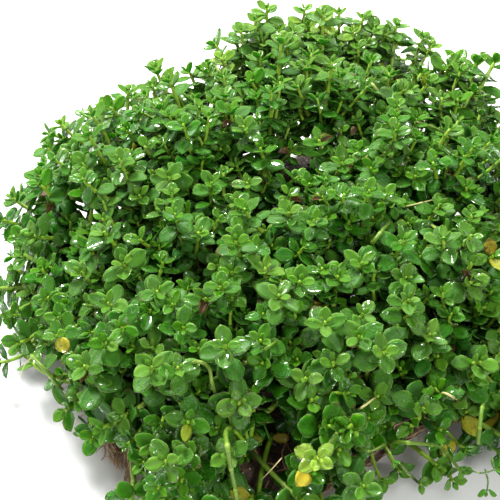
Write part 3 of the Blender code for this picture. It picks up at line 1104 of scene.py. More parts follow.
def growLeaves(shoot, rng, leaves):
    grow = growSet
    length, at = shoot["length"], shoot["at"]
    nodes = []
    share = placeShare(shoot["tip"])
    deepest = grow["midDepth"] + (grow["rimDepth"] - grow["midDepth"]) * share**3
    toFront = (eye - shoot["tip"]).normalized()
    toFront *= grow["frontSeeking"] * share**2 + grow["backSeeking"] * backShare(shoot["tip"])
    # leaves at the back are given a younger, lighter colour: painted light
    backLightening = shootSet["backPaintedLightAge"] * backShare(shoot["tip"])
    for rank, leafMm in enumerate(grow["leafMm"]):
        gap = grow["gapMm"][rank] * (1.0 - shoot["open"]) + grow["openGapMm"][rank] * shoot["open"]
        gap = gap * mm * shoot["size"] * (1.0 + grow["gapWander"] * rng.uniform(-1, 1))
        if gap > min(length - grow["forkGap"], deepest) and rank > 2 or rank == shoot.get("pairs"):
            break
        nodes.append(gap)
        place, heading = at(gap)
        way = (shoot["way"] - heading * shoot["way"].dot(heading)).normalized()
        pairWander, leafWander = grow["turnWander"]
        spin = rank * math.pi / 2 + rng.uniform(-pairWander, pairWander)
        missing = grow["missing"] * rank if rank > 3 else 0.0
        light = up * grow["lightSeeking"] * min(rank / 3.0, 1.0) + toFront * min(rank / 2.0, 1.0)
        older = int(rank > 1)
        for half in range(2):
            turn = spin + half * math.pi + rng.uniform(-leafWander, leafWander)
            if rng.random() < missing:
                continue
            rise = math.radians(grow["rise"][rank] + rng.gauss(0.0, grow["riseWander"][older]))
            roll = rng.gauss(0.0, grow["rollWander"][older])
            long = leafMm * mm * shoot["size"] * rng.uniform(*grow["lengthRange"])
            origin, along, face = leafAt(place, heading, way, turn, rise, roll, long, light)
            age = min(grow["age"][rank] + grow["ageWander"] * rng.uniform(-1, 1), 1.0) - backLightening
            dead = rank in grow["deadRanks"] and rng.random() < grow["dead"]
            long = roomFor(origin, along, long * grow["deadLength"] if dead else long)
            yellows = rank > 4 and rng.random() < grow["yellowing"]
            yellow = rng.uniform(*grow["yellowness"]) if yellows else 0.0
            first, more = grow["scorching"]
            burn = rng.uniform(*grow["burn"]) if rng.random() < first + more * rank else 0.0
            leaf = {
                "origin": origin,
                "along": along,
                "face": face,
                "long": long,
                "wide": long * grow["breadth"][rank] * rng.uniform(*grow["breadthRange"]),
                "cup": rng.uniform(*grow["cup"][int(rank > 2)]),
                "bend": rng.uniform(*grow["bend"][int(rank > 2)]),
                "tone": shoot["tone"] + rng.uniform(-grow["toneWander"], grow["toneWander"]),
                "age": max(age, 0.0),
                "yellow": yellow,
                "burn": 1.0 if dead else burn,
                "seed": rng.random(),
                "wet": min(max(rng.gauss(*grow["wet"]), 0.0), 1.0),
            }
            if rank < 2 or not isBare(origin + along * long / 2, shootSet["cleared"]):
                leaves[leafMesh(shoot, rank)].append(leaf)
    return nodes


def newTube(rings, tone, wet, seed, dry=0.0, depth=1.0):
    # A stem or root: place, heading, radius, distance and ridge of each ring, and its looks
    return {"rings": rings, "tone": tone, "wet": wet, "seed": seed, "dry": dry, "depth": depth}


def growStem(shoot, nodes, tubes, rng):
    grow = growSet
    length, at = shoot["length"], shoot["at"]
    marks = {0.0, length}
    for node in nodes[2:5]:
        for step in (-0.5 * mm, 0.0, 0.5 * mm):
            marks.add(min(max(node + step, 0.0), length))
    deepest = max(nodes[:5])
    extra = max(int((length - deepest) / grow["ringGap"]), 1)
    marks.update(deepest + (length - deepest) * (i + 1) / (extra + 1) for i in range(extra))
    overSoil = shoot["kind"] == "leader" and isBare(at(length)[0], shootSet["cleared"])
    foot = grow["stemRadius"] if overSoil else grow["footRadius"]
    rings = []
    for distance in sorted(marks):
        place, heading = at(distance)
        share = min(distance / grow["thickOver"], 1.0)
        radius = grow["tipRadius"] + (grow["stemRadius"] - grow["tipRadius"]) * share**0.6
        if shoot["kind"] == "leader":
            deep = max(distance - 0.5 * length, 0.0) / (0.5 * length)
            radius += (foot - grow["stemRadius"]) * deep
        radius *= shoot["size"]
        knot = min((abs(distance - node) for node in nodes[2:]), default=1.0)
        ridge = 1.0 if knot < 0.2 * mm else 0.0
        radius *= grow["knot"] if ridge else 1.0
        rings.append((place, heading, radius, distance, ridge))
    # over bare soil the stem reaches its dark old colour sooner: painted shade
    depth = grow["soilShadeDepth"] if overSoil else grow["depth"]
    tone = shoot["tone"] * rng.uniform(0.6, 1.2)
    tubes.append(newTube(rings, tone, rng.uniform(0.2, 0.7), rng.random(), depth=depth))


# Meshes from the plans

leafShape = {
    "meshes": {
        # rows from base to tip, columns across, how much of the pointed form the sharpest leaf has
        "fine": ((0.0, 0.10, 0.27, 0.50, 0.73, 0.91, 1.0), 4, 0.75),
        "plain": ((0.0, 0.15, 0.40, 0.68, 0.89, 1.0), 4, 0.75),
        "deep": ((0.0, 0.18, 0.52, 0.86, 1.0), 2, 0.30),
    },
    # half width from base to tip, of the bluntest leaves and of the most pointed ones
    "bluntAt": ((0.0, 0.14), (0.05, 0.29), (0.13, 0.57), (0.27, 0.86), (0.42, 0.98), (0.54, 1.0),
                (0.68, 0.96), (0.81, 0.82), (0.91, 0.60), (1.0, 0.24)),
    "pointedAt": ((0.0, 0.12), (0.06, 0.30), (0.15, 0.60), (0.28, 0.87), (0.39, 0.98), (0.48, 1.0),
                  (0.62, 0.92), (0.76, 0.73), (0.88, 0.46), (1.0, 0.10)),
    "tipRound": 0.045,
    "thickness": 0.19 * mm,
    "crease": 0.05,
    "creaseWidth": 0.3,
    "ripple": 0.05,
    "sideways": 0.12,
}
tubeSides = 6  # the ends of a tube are closed by two quads each


def leafSurface(rows, columns):
    # Rows and columns of a unit leaf, the top and bottom sharing their rim
    u, s = np.meshgrid(np.array(rows), np.linspace(-1, 1, columns + 1), indexing="ij")
    high, wide = len(rows), columns + 1
    topIndex = np.arange(high * wide).reshape(high, wide)
    bottomIndex = topIndex.copy()
    inner = (high - 2) * (wide - 2)
    bottomIndex[1:-1, 1:-1] = high * wide + np.arange(inner).reshape(high - 2, wide - 2)
    faces = []
    for index, flipped in ((topIndex, False), (bottomIndex, True)):
        corners = (index[:-1, :-1], index[1:, :-1], index[1:, 1:], index[:-1, 1:])
        quads = np.stack([c.ravel() for c in corners], axis=1)
        faces.append(quads[:, ::-1] if flipped else quads)
    return u, s, np.concatenate(faces), high * wide + inner


def makeLeaves(records, rows, columns, mostPointed):
    shape = leafShape
    data = {key: np.array([leaf[key] for leaf in records], dtype=float) for key in records[0]}
    count = len(records)
    u, s, quads, points = leafSurface(rows, columns)
    origin, along, face = (data[key][:, None, None, :] for key in ("origin", "along", "face"))
    across = np.cross(face, along)
    long, wide, cup, bend, seed = (
        data[key][:, None, None] for key in ("long", "wide", "cup", "bend", "seed"))
    blunt, pointed = (np.interp(u, *np.array(shape[name]).T)[None] for name in ("bluntAt", "pointedAt"))
    share = (seed * 7.0) % 1.0 * mostPointed
    half = (blunt * (1.0 - share) + pointed * share) * wide / 2
    x = long * (u - shape["tipRound"] * s**2 * u**5)
    y = s * half * (1.0 + shape["ripple"] * np.sin(6.0 * u + 12.0 * seed))
    crease = shape["crease"] * wide * np.exp(-((s / shape["creaseWidth"]) ** 2)) * np.sin(np.pi * u)
    z = cup * half * s**2 + bend * long * u**2 - crease
    z = z + shape["ripple"] * wide * np.sin(7.0 * u + 20.0 * seed) * s**2 * u
    side = shape["sideways"] * (seed - 0.5) * long * u**2
    thick = shape["thickness"] * np.sqrt(np.maximum(1.0 - s**2, 0.0))
    thick = thick * np.sqrt(np.sin(np.pi * u).clip(0, 1))
    thick = np.broadcast_to(thick[None], z.shape)
    middle = origin + along * x[..., None] + across * (y + side)[..., None] + face * z[..., None]
    top = middle + face * thick[..., None] / 2
    bottom = middle - face * thick[..., None] / 2
    co = np.concatenate([top.reshape(count, -1, 3), bottom[:, 1:-1, 1:-1].reshape(count, -1, 3)], axis=1)
    inside = np.zeros(u.shape)
    inside[1:-1, 1:-1] = 1.0
    topPlace = np.stack([u, s, inside], axis=-1).reshape(-1, 3)
    bottomPlace = np.stack([u, s, -inside], axis=-1)[1:-1, 1:-1].reshape(-1, 3)
    place = np.tile(np.concatenate([topPlace, bottomPlace]), (count, 1))
    look, state = (np.repeat(np.stack([data[key] for key in keys], axis=1), points, axis=0)
                   for keys in (("tone", "age", "yellow"), ("burn", "seed", "wet")))
    faces = (quads[None] + (np.arange(count) * points)[:, None, None]).reshape(-1, 4)
    return co.reshape(-1, 3), faces, place, look, state


def makeTube(tube):
    # A closed tube along its rings, whose headings point from its first ring outwards
    co, place = [], []
    spin = None
    for centre, heading, radius, distance, ridge in tube["rings"]:
        spin = heading.orthogonal() if spin is None else spin
        spin = (spin - heading * spin.dot(heading)).normalized()
        other = heading.cross(spin)
        for number in range(tubeSides):
            angle = math.tau * number / tubeSides
            co.append(centre + (spin * math.cos(angle) + other * math.sin(angle)) * radius)
            place.append((distance / tube["depth"], number / tubeSides, ridge))
    rings = len(tube["rings"])
    faces = []
    for ring in range(rings - 1):
        for number in range(tubeSides):
            a = ring * tubeSides + number
            b = ring * tubeSides + (number + 1) % tubeSides
            faces.append((a, a + tubeSides, b + tubeSides, b))
    last = (rings - 1) * tubeSides
    faces += [(0, 1, 2, 3), (0, 3, 4, 5)]
    faces += [(last + 3, last + 2, last + 1, last), (last + 5, last + 4, last + 3, last)]
    co, place = np.array(co), np.array(place)
    age = place[:, 0].clip(0, 1)
    look = np.stack([np.full(len(co), tube["tone"]), age, np.full(len(co), tube["dry"])], axis=1)
    state = np.tile((0.0, tube["seed"], tube["wet"]), (len(co), 1))
    return co, np.array(faces), place, look, state


def joinParts(parts):
    # Several sets of points and quads as one, with a material number for each face
    offset = 0
    points, quads, slots, places, looks, states = [], [], [], [], [], []
    for slot, (co, faces, place, look, state) in parts:
        points.append(co)
        quads.append(faces + offset)
        slots.append(np.full(len(faces), slot))
        places.append(place)
        looks.append(look)
        states.append(state)
        offset += len(co)
    return [np.concatenate(part) for part in (points, quads, slots, places, looks, states)]


def makePiece(name, parts, materials):
    points, quads, slots, places, looks, states = joinParts(parts)
    mesh = bpy.data.meshes.new(name)
    mesh.vertices.add(len(points))
    mesh.vertices.foreach_set("co", points.astype(np.float32).ravel())
    mesh.loops.add(quads.size)
    mesh.loops.foreach_set("vertex_index", quads.astype(np.int32).ravel())
    mesh.polygons.add(len(quads))
    mesh.polygons.foreach_set("loop_start", np.arange(0, quads.size, 4, dtype=np.int32))
    for material in materials:
        mesh.materials.append(material)
    mesh.polygons.foreach_set("material_index", slots.astype(np.int32))
    mesh.update(calc_edges=True)
    mesh.shade_smooth()
    for label, values in (("leafPlace", places), ("leafLook", looks), ("leafState", states)):
        layer = mesh.attributes.new(label, "FLOAT_VECTOR", "POINT")
        layer.data.foreach_set("vector", values.astype(np.float32).ravel())
    return addObject(name, mesh)


def growShoots(rng):
    # The leaves and stems of each sprig, before they become meshes
    grown = [({label: [] for label in leafShape["meshes"]}, []) for _ in sprigs]
    for shoot in shoots:
        leaves, tubes = grown[shoot["sprig"]]
        shoot["length"], shoot["at"] = walkPath(shootPath(shoot))
        nodes = growLeaves(shoot, rng, leaves)
        growStem(shoot, nodes, tubes, rng)
    return grown


# Leaves that have turned or dried up, by pixel: length in mm, how yellow and how scorched
turnedLeaves = {
    "spottedInFront": (303, 480, 4.2, 1.0, 0.5),
    "bigYellowRight": (466, 421, 5.2, 0.55, 0.0),
    "yellowBrownRight": (496, 418, 5.0, 0.9, 0.6),
    "blotchedRight": (458, 443, 4.6, 0.7, 0.6),
    "yellowInFront": (415, 495, 4.4, 0.9, 0.0),
    "paleInFront": (233, 497, 4.2, 0.6, 0.0),
    "yellowLeft": (65, 343, 3.6, 0.75, 0.7),
    "orangeInFront": (284, 432, 3.4, 1.0, 0.6),
    "yellowishUpperLeft": (45, 190, 4.0, 0.4, 0.0),
    "edgeOfTheRosette": (190, 437, 3.4, 0.32, 0.0),
    "driedTopMiddle": (332, 102, 2.6, 0.0, 1.0),
    "driedBelowIt": (334, 133, 2.6, 0.0, 1.0),
    "driedTopRight": (355, 128, 2.4, 0.0, 1.0),
    "driedUnderIt": (356, 168, 2.4, 0.0, 1.0),
    "driedByTheCrown": (303, 195, 2.6, 0.2, 1.0),
    "driedBesideIt": (322, 197, 2.4, 0.0, 1.0),
    "driedLeftMiddle": (207, 310, 2.6, 0.0, 1.0),
    "driedUpperMiddle": (287, 156, 2.6, 0.0, 1.0),
    "driedTop": (273, 64, 2.4, 0.0, 1.0),
    "driedRight": (430, 71, 2.8, 0.5, 0.7),
    "driedLeft": (25, 203, 2.6, 0.0, 1.0),
    "driedFarLeft": (45, 203, 2.4, 0.0, 1.0),
    "driedLeftFront": (77, 385, 2.6, 0.3, 1.0),
    "agedRightEdge": (489, 252, 5.2, 0.75, 0.3),
    "agedBelowIt": (495, 263, 4.6, 0.5, 0.6),
    "orangeRightEdge": (497, 243, 3.6, 0.95, 0.6),
    "driedRightEdge": (458, 275, 2.6, 0.3, 1.0),
    "greenRightOfMiddle": (422, 367, 4.4, 0.0, 0.0),
    "scorchedRight": (490, 302, 4.4, 0.0, 0.84),
    "scorchedBesideIt": (466, 257, 4.4, 0.0, 0.84),
}
turnSet = {
    "reach": 10.0,  # pixels
    "pixelCost": 0.35 * mm,  # a leaf this much nearer to the camera may be one pixel further off
    "shortest": 2.6 * mm,
    "facing": 0.35,
    "towardsFront": 0.25,
    "tone": 0.35,
    "curled": {"cup": 1.3, "bend": -0.3},  # leaves that are dead all over
}


def turnLeaves(grown):
    # The leaf that shows at each of the pixels takes on that look
    turns = turnSet
    seen = []
    for leaves, _ in grown:
        for label, records in leaves.items():
            for leaf in records:
                middle = leaf["origin"] + leaf["along"] * leaf["long"] / 2
                toEye = eye - middle
                facing = leaf["face"].dot(toEye.normalized())
                if leaf["long"] > turns["shortest"] and facing > turns["facing"]:
                    seen.append((*pixelOf(middle), toEye.length, leaf, leaves, label))
    for x, y, long, yellow, burn in turnedLeaves.values():
        near = []
        for leafX, leafY, away, *leafIn in seen:
            off = math.hypot(leafX - x, leafY - y)
            if off < turns["reach"]:
                near.append((away + off * turns["pixelCost"], leafIn))
        if near:
            leaf, leaves, label = min(near, key=lambda hit: hit[0])[1]
            leaf["wide"] *= long * mm / leaf["long"]
            face = leaf["face"] + (eye - leaf["origin"]).normalized() * turns["towardsFront"]
            face.normalize()
            leaf["along"] = (leaf["along"] - face * face.dot(leaf["along"])).normalized()
            leaf.update({"face": face, "long": long * mm, "tone": turns["tone"]})
            leaf.update({"yellow": yellow, "burn": burn})
            leaf.update(turns["curled"] if burn == 1.0 else {})
            leaves[label] = [other for other in leaves[label] if other is not leaf]
            leaves["fine"].append(leaf)


# Stems that lie bare: radius in mm, age, how dry, how many of its ends join other stems, and the pixels
# along each of them with the height over the shoots in mm
bareStems = {
    "runnerLeft": (0.44, 0.80, 0.0, 2, ((60, 388, -2.5), (47, 372, -1.5), (33, 357, 0.0))),
    "rootletLeft": (0.13, 0.6, 0.5, 1, ((31, 358, 0.0), (24, 366, -2.0), (21, 378, -6.0))),
    "archLeft": (0.38, 0.72, 0.1, 2, (
        (178, 377, -1.5), (191, 364, 0.0), (200, 362, 0.6),
        (209, 368, 0.0), (212, 383, -1.5), (215, 393, -2.5))),
    "uprightInFront": (0.45, 0.80, 0.0, 2, (
        (226, 432, -1.5), (228, 450, 1.5), (231, 468, 2.5), (235, 487, 2.5), (237, 499, 1.5))),
    "slantInFront": (0.38, 0.80, 0.0, 2, ((326, 448, -1.5), (339, 430, -1.0), (349, 418, -1.5))),
    "archInFront": (0.26, 0.80, 0.0, 2, ((360, 449, -1.0), (371, 451, -0.5), (383, 445, -1.0))),
    "shortInFront": (0.28, 0.84, 0.0, 1, ((386, 447, -1.0), (391, 455, -0.5), (395, 463, -1.0))),
    "runnerRight": (0.40, 0.80, 0.0, 1, (
        (395, 442, -2.0), (412, 443, -1.0), (431, 445, -1.0), (444, 450, -1.0), (461, 472, -1.5))),
    "slantFrontRight": (0.32, 0.92, 0.0, 1, ((402, 466, -2.5), (411, 476, -2.5), (421, 485, -2.5))),
    "uprightRight": (0.42, 0.78, 0.0, 2, (
        (478, 440, -1.5), (480, 424, -0.5), (482, 408, 0.5), (484, 401, 0.5))),
    "strawRight": (0.24, 0.6, 0.85, 2, ((444, 393, -0.8), (451, 396, -0.5), (458, 400, -0.8))),
    "strawInFront": (0.22, 0.6, 0.6, 2, ((361, 408, -0.8), (367, 404, -0.5), (372, 400, -0.8))),
    "danglingRight": (0.18, 0.95, 0.0, 1, ((464, 468, -1.5), (482, 473, -2.0), (499, 468, -2.0))),
    "tailRight": (0.20, 0.95, 0.0, 1, ((486, 473, -2.0), (488, 481, -3.0), (487, 491, -6.0))),
    "crossingMiddle": (0.32, 0.76, 0.0, 2, ((260, 353, -1.0), (268, 347, -0.5), (276, 341, -1.0))),
    "standingRight": (0.42, 0.80, 0.0, 2, ((374, 241, -1.5), (381, 232, -0.8), (389, 223, -1.5))),
    "stubRight": (0.34, 0.70, 0.1, 2, ((434, 227, -1.5), (439, 231, -1.5), (444, 237, -2.0))),
    "longUpperRight": (0.36, 0.80, 0.1, 2, ((417, 122, -1.5), (432, 127, -0.8), (450, 136, -1.5))),
    "strawUpperRight": (0.18, 0.6, 0.5, 2, ((408, 206, -0.8), (421, 203, -0.3), (437, 199, -0.8))),
    "paleTopMiddle": (0.42, 0.6, 0.3, 2, ((366, 76, -1.0), (372, 84, -0.5), (379, 93, -1.0))),
    "rootOnTheSoil": (0.12, 1.0, 0.7, 1, ((280, 460, -4.5), (270, 471, -5.0), (260, 481, -5.5))),
}
# How many pairs of leaves grow at the free end of some of them
stemTufts = {
    "shortInFront": 2,
    "runnerRight": 4,
    "slantFrontRight": 3,
    "danglingRight": 3,
    "tailRight": 2,
}
stemSet = {
    "tuft": {"size": 0.72, "tone": 0.6, "open": 0.25, "marked": True},
    "samples": (1.5, 2.6, 3.8, 5.2, 6.8, 8.6, 10.6, 13.0),  # mm below a tip where a stem may join
    "dive": 4.0 * mm,  # away from the camera, from the end that shows to where it joins
    "onward": 0.6 * mm,
    "joinWithin": 1.8 * mm,
    "tone": (0.15, 0.5),
    "wet": (0.3, 0.7),
    "steps": 5,
    "knotEvery": 6,  # rings
    "knot": 1.22,
    "endShare": 0.75,
}


def smoothPath(points, steps):
    # A smooth curve through all of the points
    ends = [points[0] * 2 - points[1], *points, points[-1] * 2 - points[-2]]
    path = []
    for a, b, c, d in zip(ends, ends[1:], ends[2:], ends[3:]):
        for step in range(steps):
            t = step / steps
            square, cube = a * 2 - b * 5 + c * 4 - d, b * 3 - a - c * 3 + d
            path.append(((b * 2) + (c - a) * t + square * t**2 + cube * t**3) / 2)
    return path + [points[-1]]


def alongPath(path, lowest):
    # Each point of a path, kept over a height, with the way back to its start and its share of the path
    for number, place in enumerate(path):
        place.z = max(place.z, lowest)
        heading = (path[max(number - 1, 0)] - path[min(number + 1, len(path) - 1)]).normalized()
        yield number, place, heading, number / (len(path) - 1)


def layBareStems(grown, rng):
    # Each comes up from a stem under its first pixel, and most go down to another one under their last
    stems = stemSet
    joints = []
    for shoot in shoots:
        for distance in stems["samples"]:
            if distance * mm < shoot["length"]:
                joints.append((shoot["at"](distance * mm)[0], shoot["sprig"]))
    tree = treeOf([place for place, _ in joints])
    for name, (radius, age, dry, joined, pixels) in bareStems.items():
        radius *= mm
        path = [onCanopy(x, y, lift * mm) for x, y, lift in pixels]
        ends = []
        for end, inner in ((path[0], path[1]), (path[-1], path[-2]))[:joined]:
            deep = end + (end - inner).normalized() * stems["onward"]
            deep += (end - eye).normalized() * stems["dive"]
            place, _, away = tree.find(deep)
            ends.append(place if away < stems["joinWithin"] else deep)
        owner = joints[tree.find(ends[0])[1]][1]
        path = [ends[0], *path, *ends[1:]]
        for point in path:
            point.z = max(point.z, growSet["floorGap"] + radius)
        path = smoothPath(path, stems["steps"])
        rings = []
        for number, place, heading, share in alongPath(path, 0.0):
            knot = 1.0 if number % stems["knotEvery"] == 3 and not dry else 0.0
            thick = radius * (1.0 - (1.0 - stems["endShare"]) * share) * (stems["knot"] if knot else 1.0)
            rings.append((place, heading, thick, age, knot))
        tone, wet = rng.uniform(*stems["tone"]), rng.uniform(*stems["wet"])
        grown[owner][1].append(newTube(rings, tone, wet, rng.random(), dry=dry))
        if name in stemTufts:
            tuft = newShoot("fill", path[-1], (path[-1] - path[-3]).normalized(), 0.0, **stems["tuft"])
            tuft["length"], tuft["at"] = walkPath(np.array(path))
            tuft["pairs"] = stemTufts[name]
            growLeaves(tuft, rng, grown[owner][0])


def makePlants(grown):
    total = 0
    meshes = leafShape["meshes"]
    for sprig, (leaves, tubes) in zip(sprigs, grown):
        parts = [(0, makeLeaves(leaves[label], *meshes[label])) for label in leaves if leaves[label]]
        parts += [(1, makeTube(tube)) for tube in tubes]
        piece = makePiece(sprig["name"] + "_plant", parts, (leafTissue, stemTissue))
        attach(piece, "root")
        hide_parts(sprig["name"])
        total += len(piece.data.polygons) * 2
    return total


grown = growShoots(rng)
turnLeaves(grown)
layBareStems(grown, rng)
print("plants grown:", makePlants(grown), "triangles")


# Soil and roots

soilLook = {
    "dark": (0.014, 0.010, 0.006),
    "brown": (0.085, 0.042, 0.022),
    "tan": (0.300, 0.170, 0.085),
    "roughness": 0.72,
    "wetRoughness": 0.35,
    "relief": 0.40 * mm,
    "mottle": {"Amount": 0.9, "Scale": 240.0},
    "film": {"Amount": 0.55, "Patch_Scale": 260.0, "Bead_Scale": 1200.0},
    "grain": {"Scale": 1400.0, "Softness": 0.5},
}


def buildSoil():
    material, tree, shader = newMaterial("soil")
    look = soilLook
    ground = useGroup(tree, mottle, Colour=look["dark"], Blotch_Colour=look["brown"], **look["mottle"])
    swirl = noiseAt(tree, 600.0, 2.0, 0.5, 3.5)
    thread = ramp(tree, calc(tree, "ABSOLUTE", minus(tree, swirl, 0.5)), 0.008, 0.03, 0.7, 0.0)
    colour = blendColour(tree, thread, ground["Colour"], look["tan"])
    film = useGroup(tree, wetFilm, **look["film"])
    rough = ramp(tree, film["Film"], 0.0, 1.0, look["roughness"], look["wetRoughness"])
    grain = useGroup(tree, cellGrain, **look["grain"])["Height"]
    dress(tree, shader, colour, rough, plus(tree, grain, times(tree, thread, 0.5)), look["relief"])
    return material


fibreLook = {
    "brown": (0.150, 0.070, 0.032),
    # the fibres' tan, paler than their own colour as painted light on the fringes that lie in shade
    "tan": (0.680, 0.450, 0.240),
    "blotch": (0.060, 0.030, 0.015),
    "roughness": 0.62,
    "wetRoughness": 0.30,
    "relief": 0.08 * mm,
    "mottle": {"Amount": 0.6, "Scale": 700.0},
    "film": {"Amount": 0.5, "Patch_Scale": 500.0, "Bead_Scale": 2000.0},
    "grain": {"Scale": 3000.0, "Softness": 0.4},
}


def buildFibre():
    material, tree, shader = newMaterial("rootFibre")
    look = fibreLook
    tone = readPoint(tree, "leafLook")[0]
    colour = blendColour(tree, tone, look["brown"], look["tan"])
    ground = useGroup(tree, mottle, Colour=colour, Blotch_Colour=look["blotch"], **look["mottle"])
    film = useGroup(tree, wetFilm, **look["film"])
    rough = ramp(tree, film["Film"], 0.0, 1.0, look["roughness"], look["wetRoughness"])
    grain = useGroup(tree, cellGrain, **look["grain"])["Height"]
    dress(tree, shader, ground["Colour"], rough, grain, look["relief"])
    return material


matSet = {
    "cuts": (3, 1),  # how often each edge is cut, one round after the other
    "lumps": ((170.0, 1.5), (420.0, 0.75), (1100.0, 0.35)),  # noise scale, depth in mm
    "inwards": 0.5 * mm,
    "edgeFade": 2.0 * mm,  # no lumps at the underside, full lumps from this height
    "lowestFace": 0.6 * mm,  # no fibres start on faces below this
    "fibres": 430,
    "fibreOnTop": 4,  # one in so many may start on top, the others start on the flanks
    "fibreRadius": (0.09, 0.26),  # mm
    "fibreStride": (0.8, 1.7),  # mm
    "fibreSteps": (7, 14),
    "fibreWander": 0.55,
    "fibreLift": (0.5, 3.0),  # radii off the soil at the ends, and more at the most in the middle
    "fibreTaper": 0.75,
    "side": 0.6,  # faces that look less upwards than this are the mat's flanks
}
looseSet = {
    "count": 170,
    "radius": (0.05, 0.17),  # mm
    "stride": (0.7, 1.3),  # mm
    "steps": (5, 10),
    "fraying": Vector((-0.8, -0.6, 0.0)),  # the side where the mat is most frayed
    "frayedFrom": 0.3,  # how far a face looks that way
    "evenShare": 0.35,
    "startWander": 0.9,
    "wander": 0.45,
    "fall": 0.22,
    "taper": 0.7,
}
# Bundles of roots that lie out on the floor: pixels where each starts and ends, and how many strands
fringes = {
    "leftEdge": ((113, 408), (119, 466), 22),
    "leftOfIt": ((108, 405), (97, 430), 8),
    "wispsLeft": ((113, 430), (101, 456), 4),
    "leftCorner": ((126, 440), (131, 488), 14),
    "frontLeft": ((150, 462), (160, 494), 16),
    "inFront": ((176, 482), (184, 501), 12),
}
fringeSet = {
    "scatter": 5.0,  # pixels
    "startHeight": (1.0, 6.0),  # mm
    "endHeight": (0.2, 1.6),  # mm
    "radius": (0.08, 0.24),  # mm
    "steps": 3,
    "bends": (0.3, 0.6, 0.85),  # shares of the way where a strand sways
    "sway": 0.9 * mm,
    "taper": 0.6,
}
crumbSet = {
    "count": 300,
    "radius": (0.22, 0.75),  # mm
    "flanks": 0.65,
    "uneven": 0.35,
    "lumpScale": 1.6,
    "breadth": (0.7, 1.0),
    "height": (0.55, 0.85),
    "outwards": 0.25,  # radii from the face to the middle of the grain
    "lowestFace": 0.8 * mm,
}


def makeSoil():
    solid = weldedSolid("root_mat")
    for cuts in matSet["cuts"]:
        bmesh.ops.subdivide_edges(solid, edges=solid.edges, cuts=cuts, use_grid_fill=True)
    solid.normal_update()
    low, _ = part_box("root_mat")
    moves = []
    for vert in solid.verts:
        push = sum(noise.noise(vert.co * scale) * depth * mm for scale, depth in matSet["lumps"])
        fade = min((vert.co.z - low.z) / matSet["edgeFade"], 1.0)
        flat = vert.co.z < low.z + 0.05 * mm
        moves.append(Vector() if flat else vert.normal * (push - matSet["inwards"]) * fade)
    for vert, move in zip(solid.verts, moves):
        vert.co += move
        vert.co.z = max(vert.co.z, low.z)
    mesh = bpy.data.meshes.new("rootMatSoil")
    solid.to_mesh(mesh)
    solid.free()
    mesh.shade_smooth()
    mesh.materials.append(buildSoil())
    piece = addObject("rootMatSoil", mesh)
    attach(piece, "root")
    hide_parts("root_mat")
    return piece


def makeFibres(soil, rng):
    # Fine roots that wander over the sides and top of the soil and hang out of its edge
    faces = [f for f in soil.data.polygons if f.center.z > matSet["lowestFace"]]
    edge = [f for f in faces if f.normal.z < matSet["side"]]
    least, more = matSet["fibreLift"]
    tubes = []
    for number in range(matSet["fibres"]):
        start = rng.choice(edge if number % matSet["fibreOnTop"] else faces)
        place = start.center.copy()
        normal = start.normal.copy()
        heading = Matrix.Rotation(rng.uniform(0, math.tau), 3, normal) @ normal.orthogonal()
        radius = rng.uniform(*matSet["fibreRadius"]) * mm
        steps = rng.randint(*matSet["fibreSteps"])
        stride = rng.uniform(*matSet["fibreStride"]) * mm
        rings = []
        for step in range(steps):
            share = step / (steps - 1)
            hit, hitPlace, hitNormal, _ = soil.closest_point_on_mesh(place)
            if hit:
                lift = radius * (least + more * math.sin(math.pi * share) * rng.random())
                place = hitPlace + hitNormal * lift
                heading = (heading - hitNormal * heading.dot(hitNormal)).normalized()
            place.z = max(place.z, radius * 1.3)
            wiggle = Vector((rng.uniform(-1, 1), rng.uniform(-1, 1), rng.uniform(-1, 0.6)))
            following = (heading + wiggle * matSet["fibreWander"]).normalized()
            thick = radius * (1.0 - matSet["fibreTaper"] * share**2)
            rings.append((place.copy(), -following, thick, share, 0.0))
            place = place + following * stride
            heading = following
        tubes.append(newTube(rings, rng.random(), 0.5, rng.random()))
    tubes += looseFibres(edge, rng) + fringeFibres(soil, rng)
    piece = makePiece("rootMatFibres", [(0, makeTube(tube)) for tube in tubes], (buildFibre(),))
    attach(piece, "root")


def looseFibres(edge, rng):
    # Thin pale roots that have come out of the flanks and droop to the floor
    loose = looseSet
    tubes = []
    while len(tubes) < loose["count"]:
        start = rng.choice(edge)
        frayed = start.normal.dot(loose["fraying"]) >= loose["frayedFrom"]
        if not frayed and rng.random() > loose["evenShare"]:
            continue
        radius = rng.uniform(*loose["radius"]) * mm
        stride = rng.uniform(*loose["stride"]) * mm
        place = start.center - start.normal * radius * 2
        heading = (start.normal + jitter(rng, loose["startWander"])).normalized()
        steps = rng.randint(*loose["steps"])
        rings = []
        for step in range(steps):
            share = step / (steps - 1)
            rings.append((place.copy(), -heading, radius * (1.0 - loose["taper"] * share), share, 0.0))
            heading = (heading + jitter(rng, loose["wander"]) - up * loose["fall"]).normalized()
            place = place + heading * stride
            place.z = max(place.z, radius * 1.2)
        if all(cadLow[axis] < place[axis] < cadHigh[axis] for axis in (0, 1)):
            tubes.append(newTube(rings, rng.uniform(0.5, 1.0), 0.4, rng.random()))
    return tubes


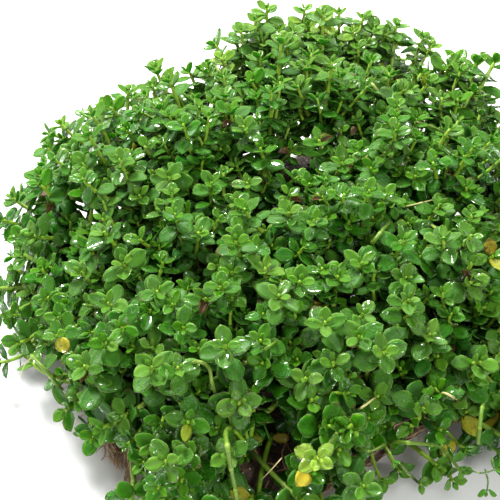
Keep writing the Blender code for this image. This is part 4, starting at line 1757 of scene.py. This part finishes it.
def fringeFibres(soil, rng):
    # Bundles of roots from the flank of the mat out over the floor
    fringe = fringeSet
    tubes = []
    for start, end, strands in fringes.values():
        for _ in range(strands):
            ends = []
            for (x, y), (low, high) in ((start, fringe["startHeight"]), (end, fringe["endHeight"])):
                x += rng.uniform(-1, 1) * fringe["scatter"]
                y += rng.uniform(-1, 1) * fringe["scatter"]
                ends.append(underPixel(x, y, rng.uniform(low, high) * mm))
            first, last = soil.closest_point_on_mesh(ends[0])[1], ends[1]
            bends = [first.lerp(last, share) + jitter(rng, fringe["sway"]) for share in fringe["bends"]]
            radius = rng.uniform(*fringe["radius"]) * mm
            path = smoothPath([first, *bends, last], fringe["steps"])
            rings = [(place, heading, radius * (1.0 - fringe["taper"] * share), share, 0.0)
                     for _, place, heading, share in alongPath(path, radius * 1.2)]
            # fringes keep to the tan end: partly their paler colour, partly painted light where they lie
            # in the leaves' shade
            tubes.append(newTube(rings, rng.uniform(0.6, 1.0), 0.4, rng.random()))
    return tubes


def roundLump():
    # A ball of quads, as directions from its middle
    ball = bmesh.new()
    bmesh.ops.create_cube(ball, size=2.0)
    bmesh.ops.subdivide_edges(ball, edges=ball.edges, cuts=1, use_grid_fill=True)
    ball.verts.index_update()
    points = np.array([v.co.normalized() for v in ball.verts])
    faces = np.array([[v.index for v in f.verts] for f in ball.faces])
    ball.free()
    return points, faces


def makeCrumbs(soil, rng):
    # Grains and small lumps that are half sunk in the surface of the mat
    crumbs = crumbSet
    points, faces = roundLump()
    blank = np.zeros((len(points), 3))
    flanks = [f for f in soil.data.polygons
              if f.center.z > crumbs["lowestFace"] and f.normal.z < matSet["side"]]
    tops = [f for f in soil.data.polygons if f.normal.z >= matSet["side"]]
    parts = []
    for _ in range(crumbs["count"]):
        under = rng.choice(flanks if rng.random() < crumbs["flanks"] else tops)
        radius = rng.uniform(*crumbs["radius"]) * mm
        turn = np.array(Matrix.Rotation(rng.uniform(0, math.tau), 3, jitter(rng, 1.0).normalized()))
        shift = rng.uniform(0, 50)
        swell = np.array([noise.noise(Vector(p) * crumbs["lumpScale"] + up * shift) for p in points])
        stretch = (1.0, rng.uniform(*crumbs["breadth"]), rng.uniform(*crumbs["height"]))
        lump = points * (1.0 + crumbs["uneven"] * swell)[:, None] * stretch @ turn.T * radius
        lump += np.array(under.center + under.normal * radius * crumbs["outwards"])
        lump[:, 2] = lump[:, 2].clip(0.0)
        parts.append((0, (lump, faces, blank, blank, blank)))
    piece = makePiece("rootMatCrumbs", parts, (soil.data.materials[0],))
    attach(piece, "root")


soil = makeSoil()
makeFibres(soil, rng)
makeCrumbs(soil, rng)
print("root mat made:", len(soil.data.polygons), "soil faces")


print("cad box", [round(v / mm, 1) for v in cadHigh - cadLow])
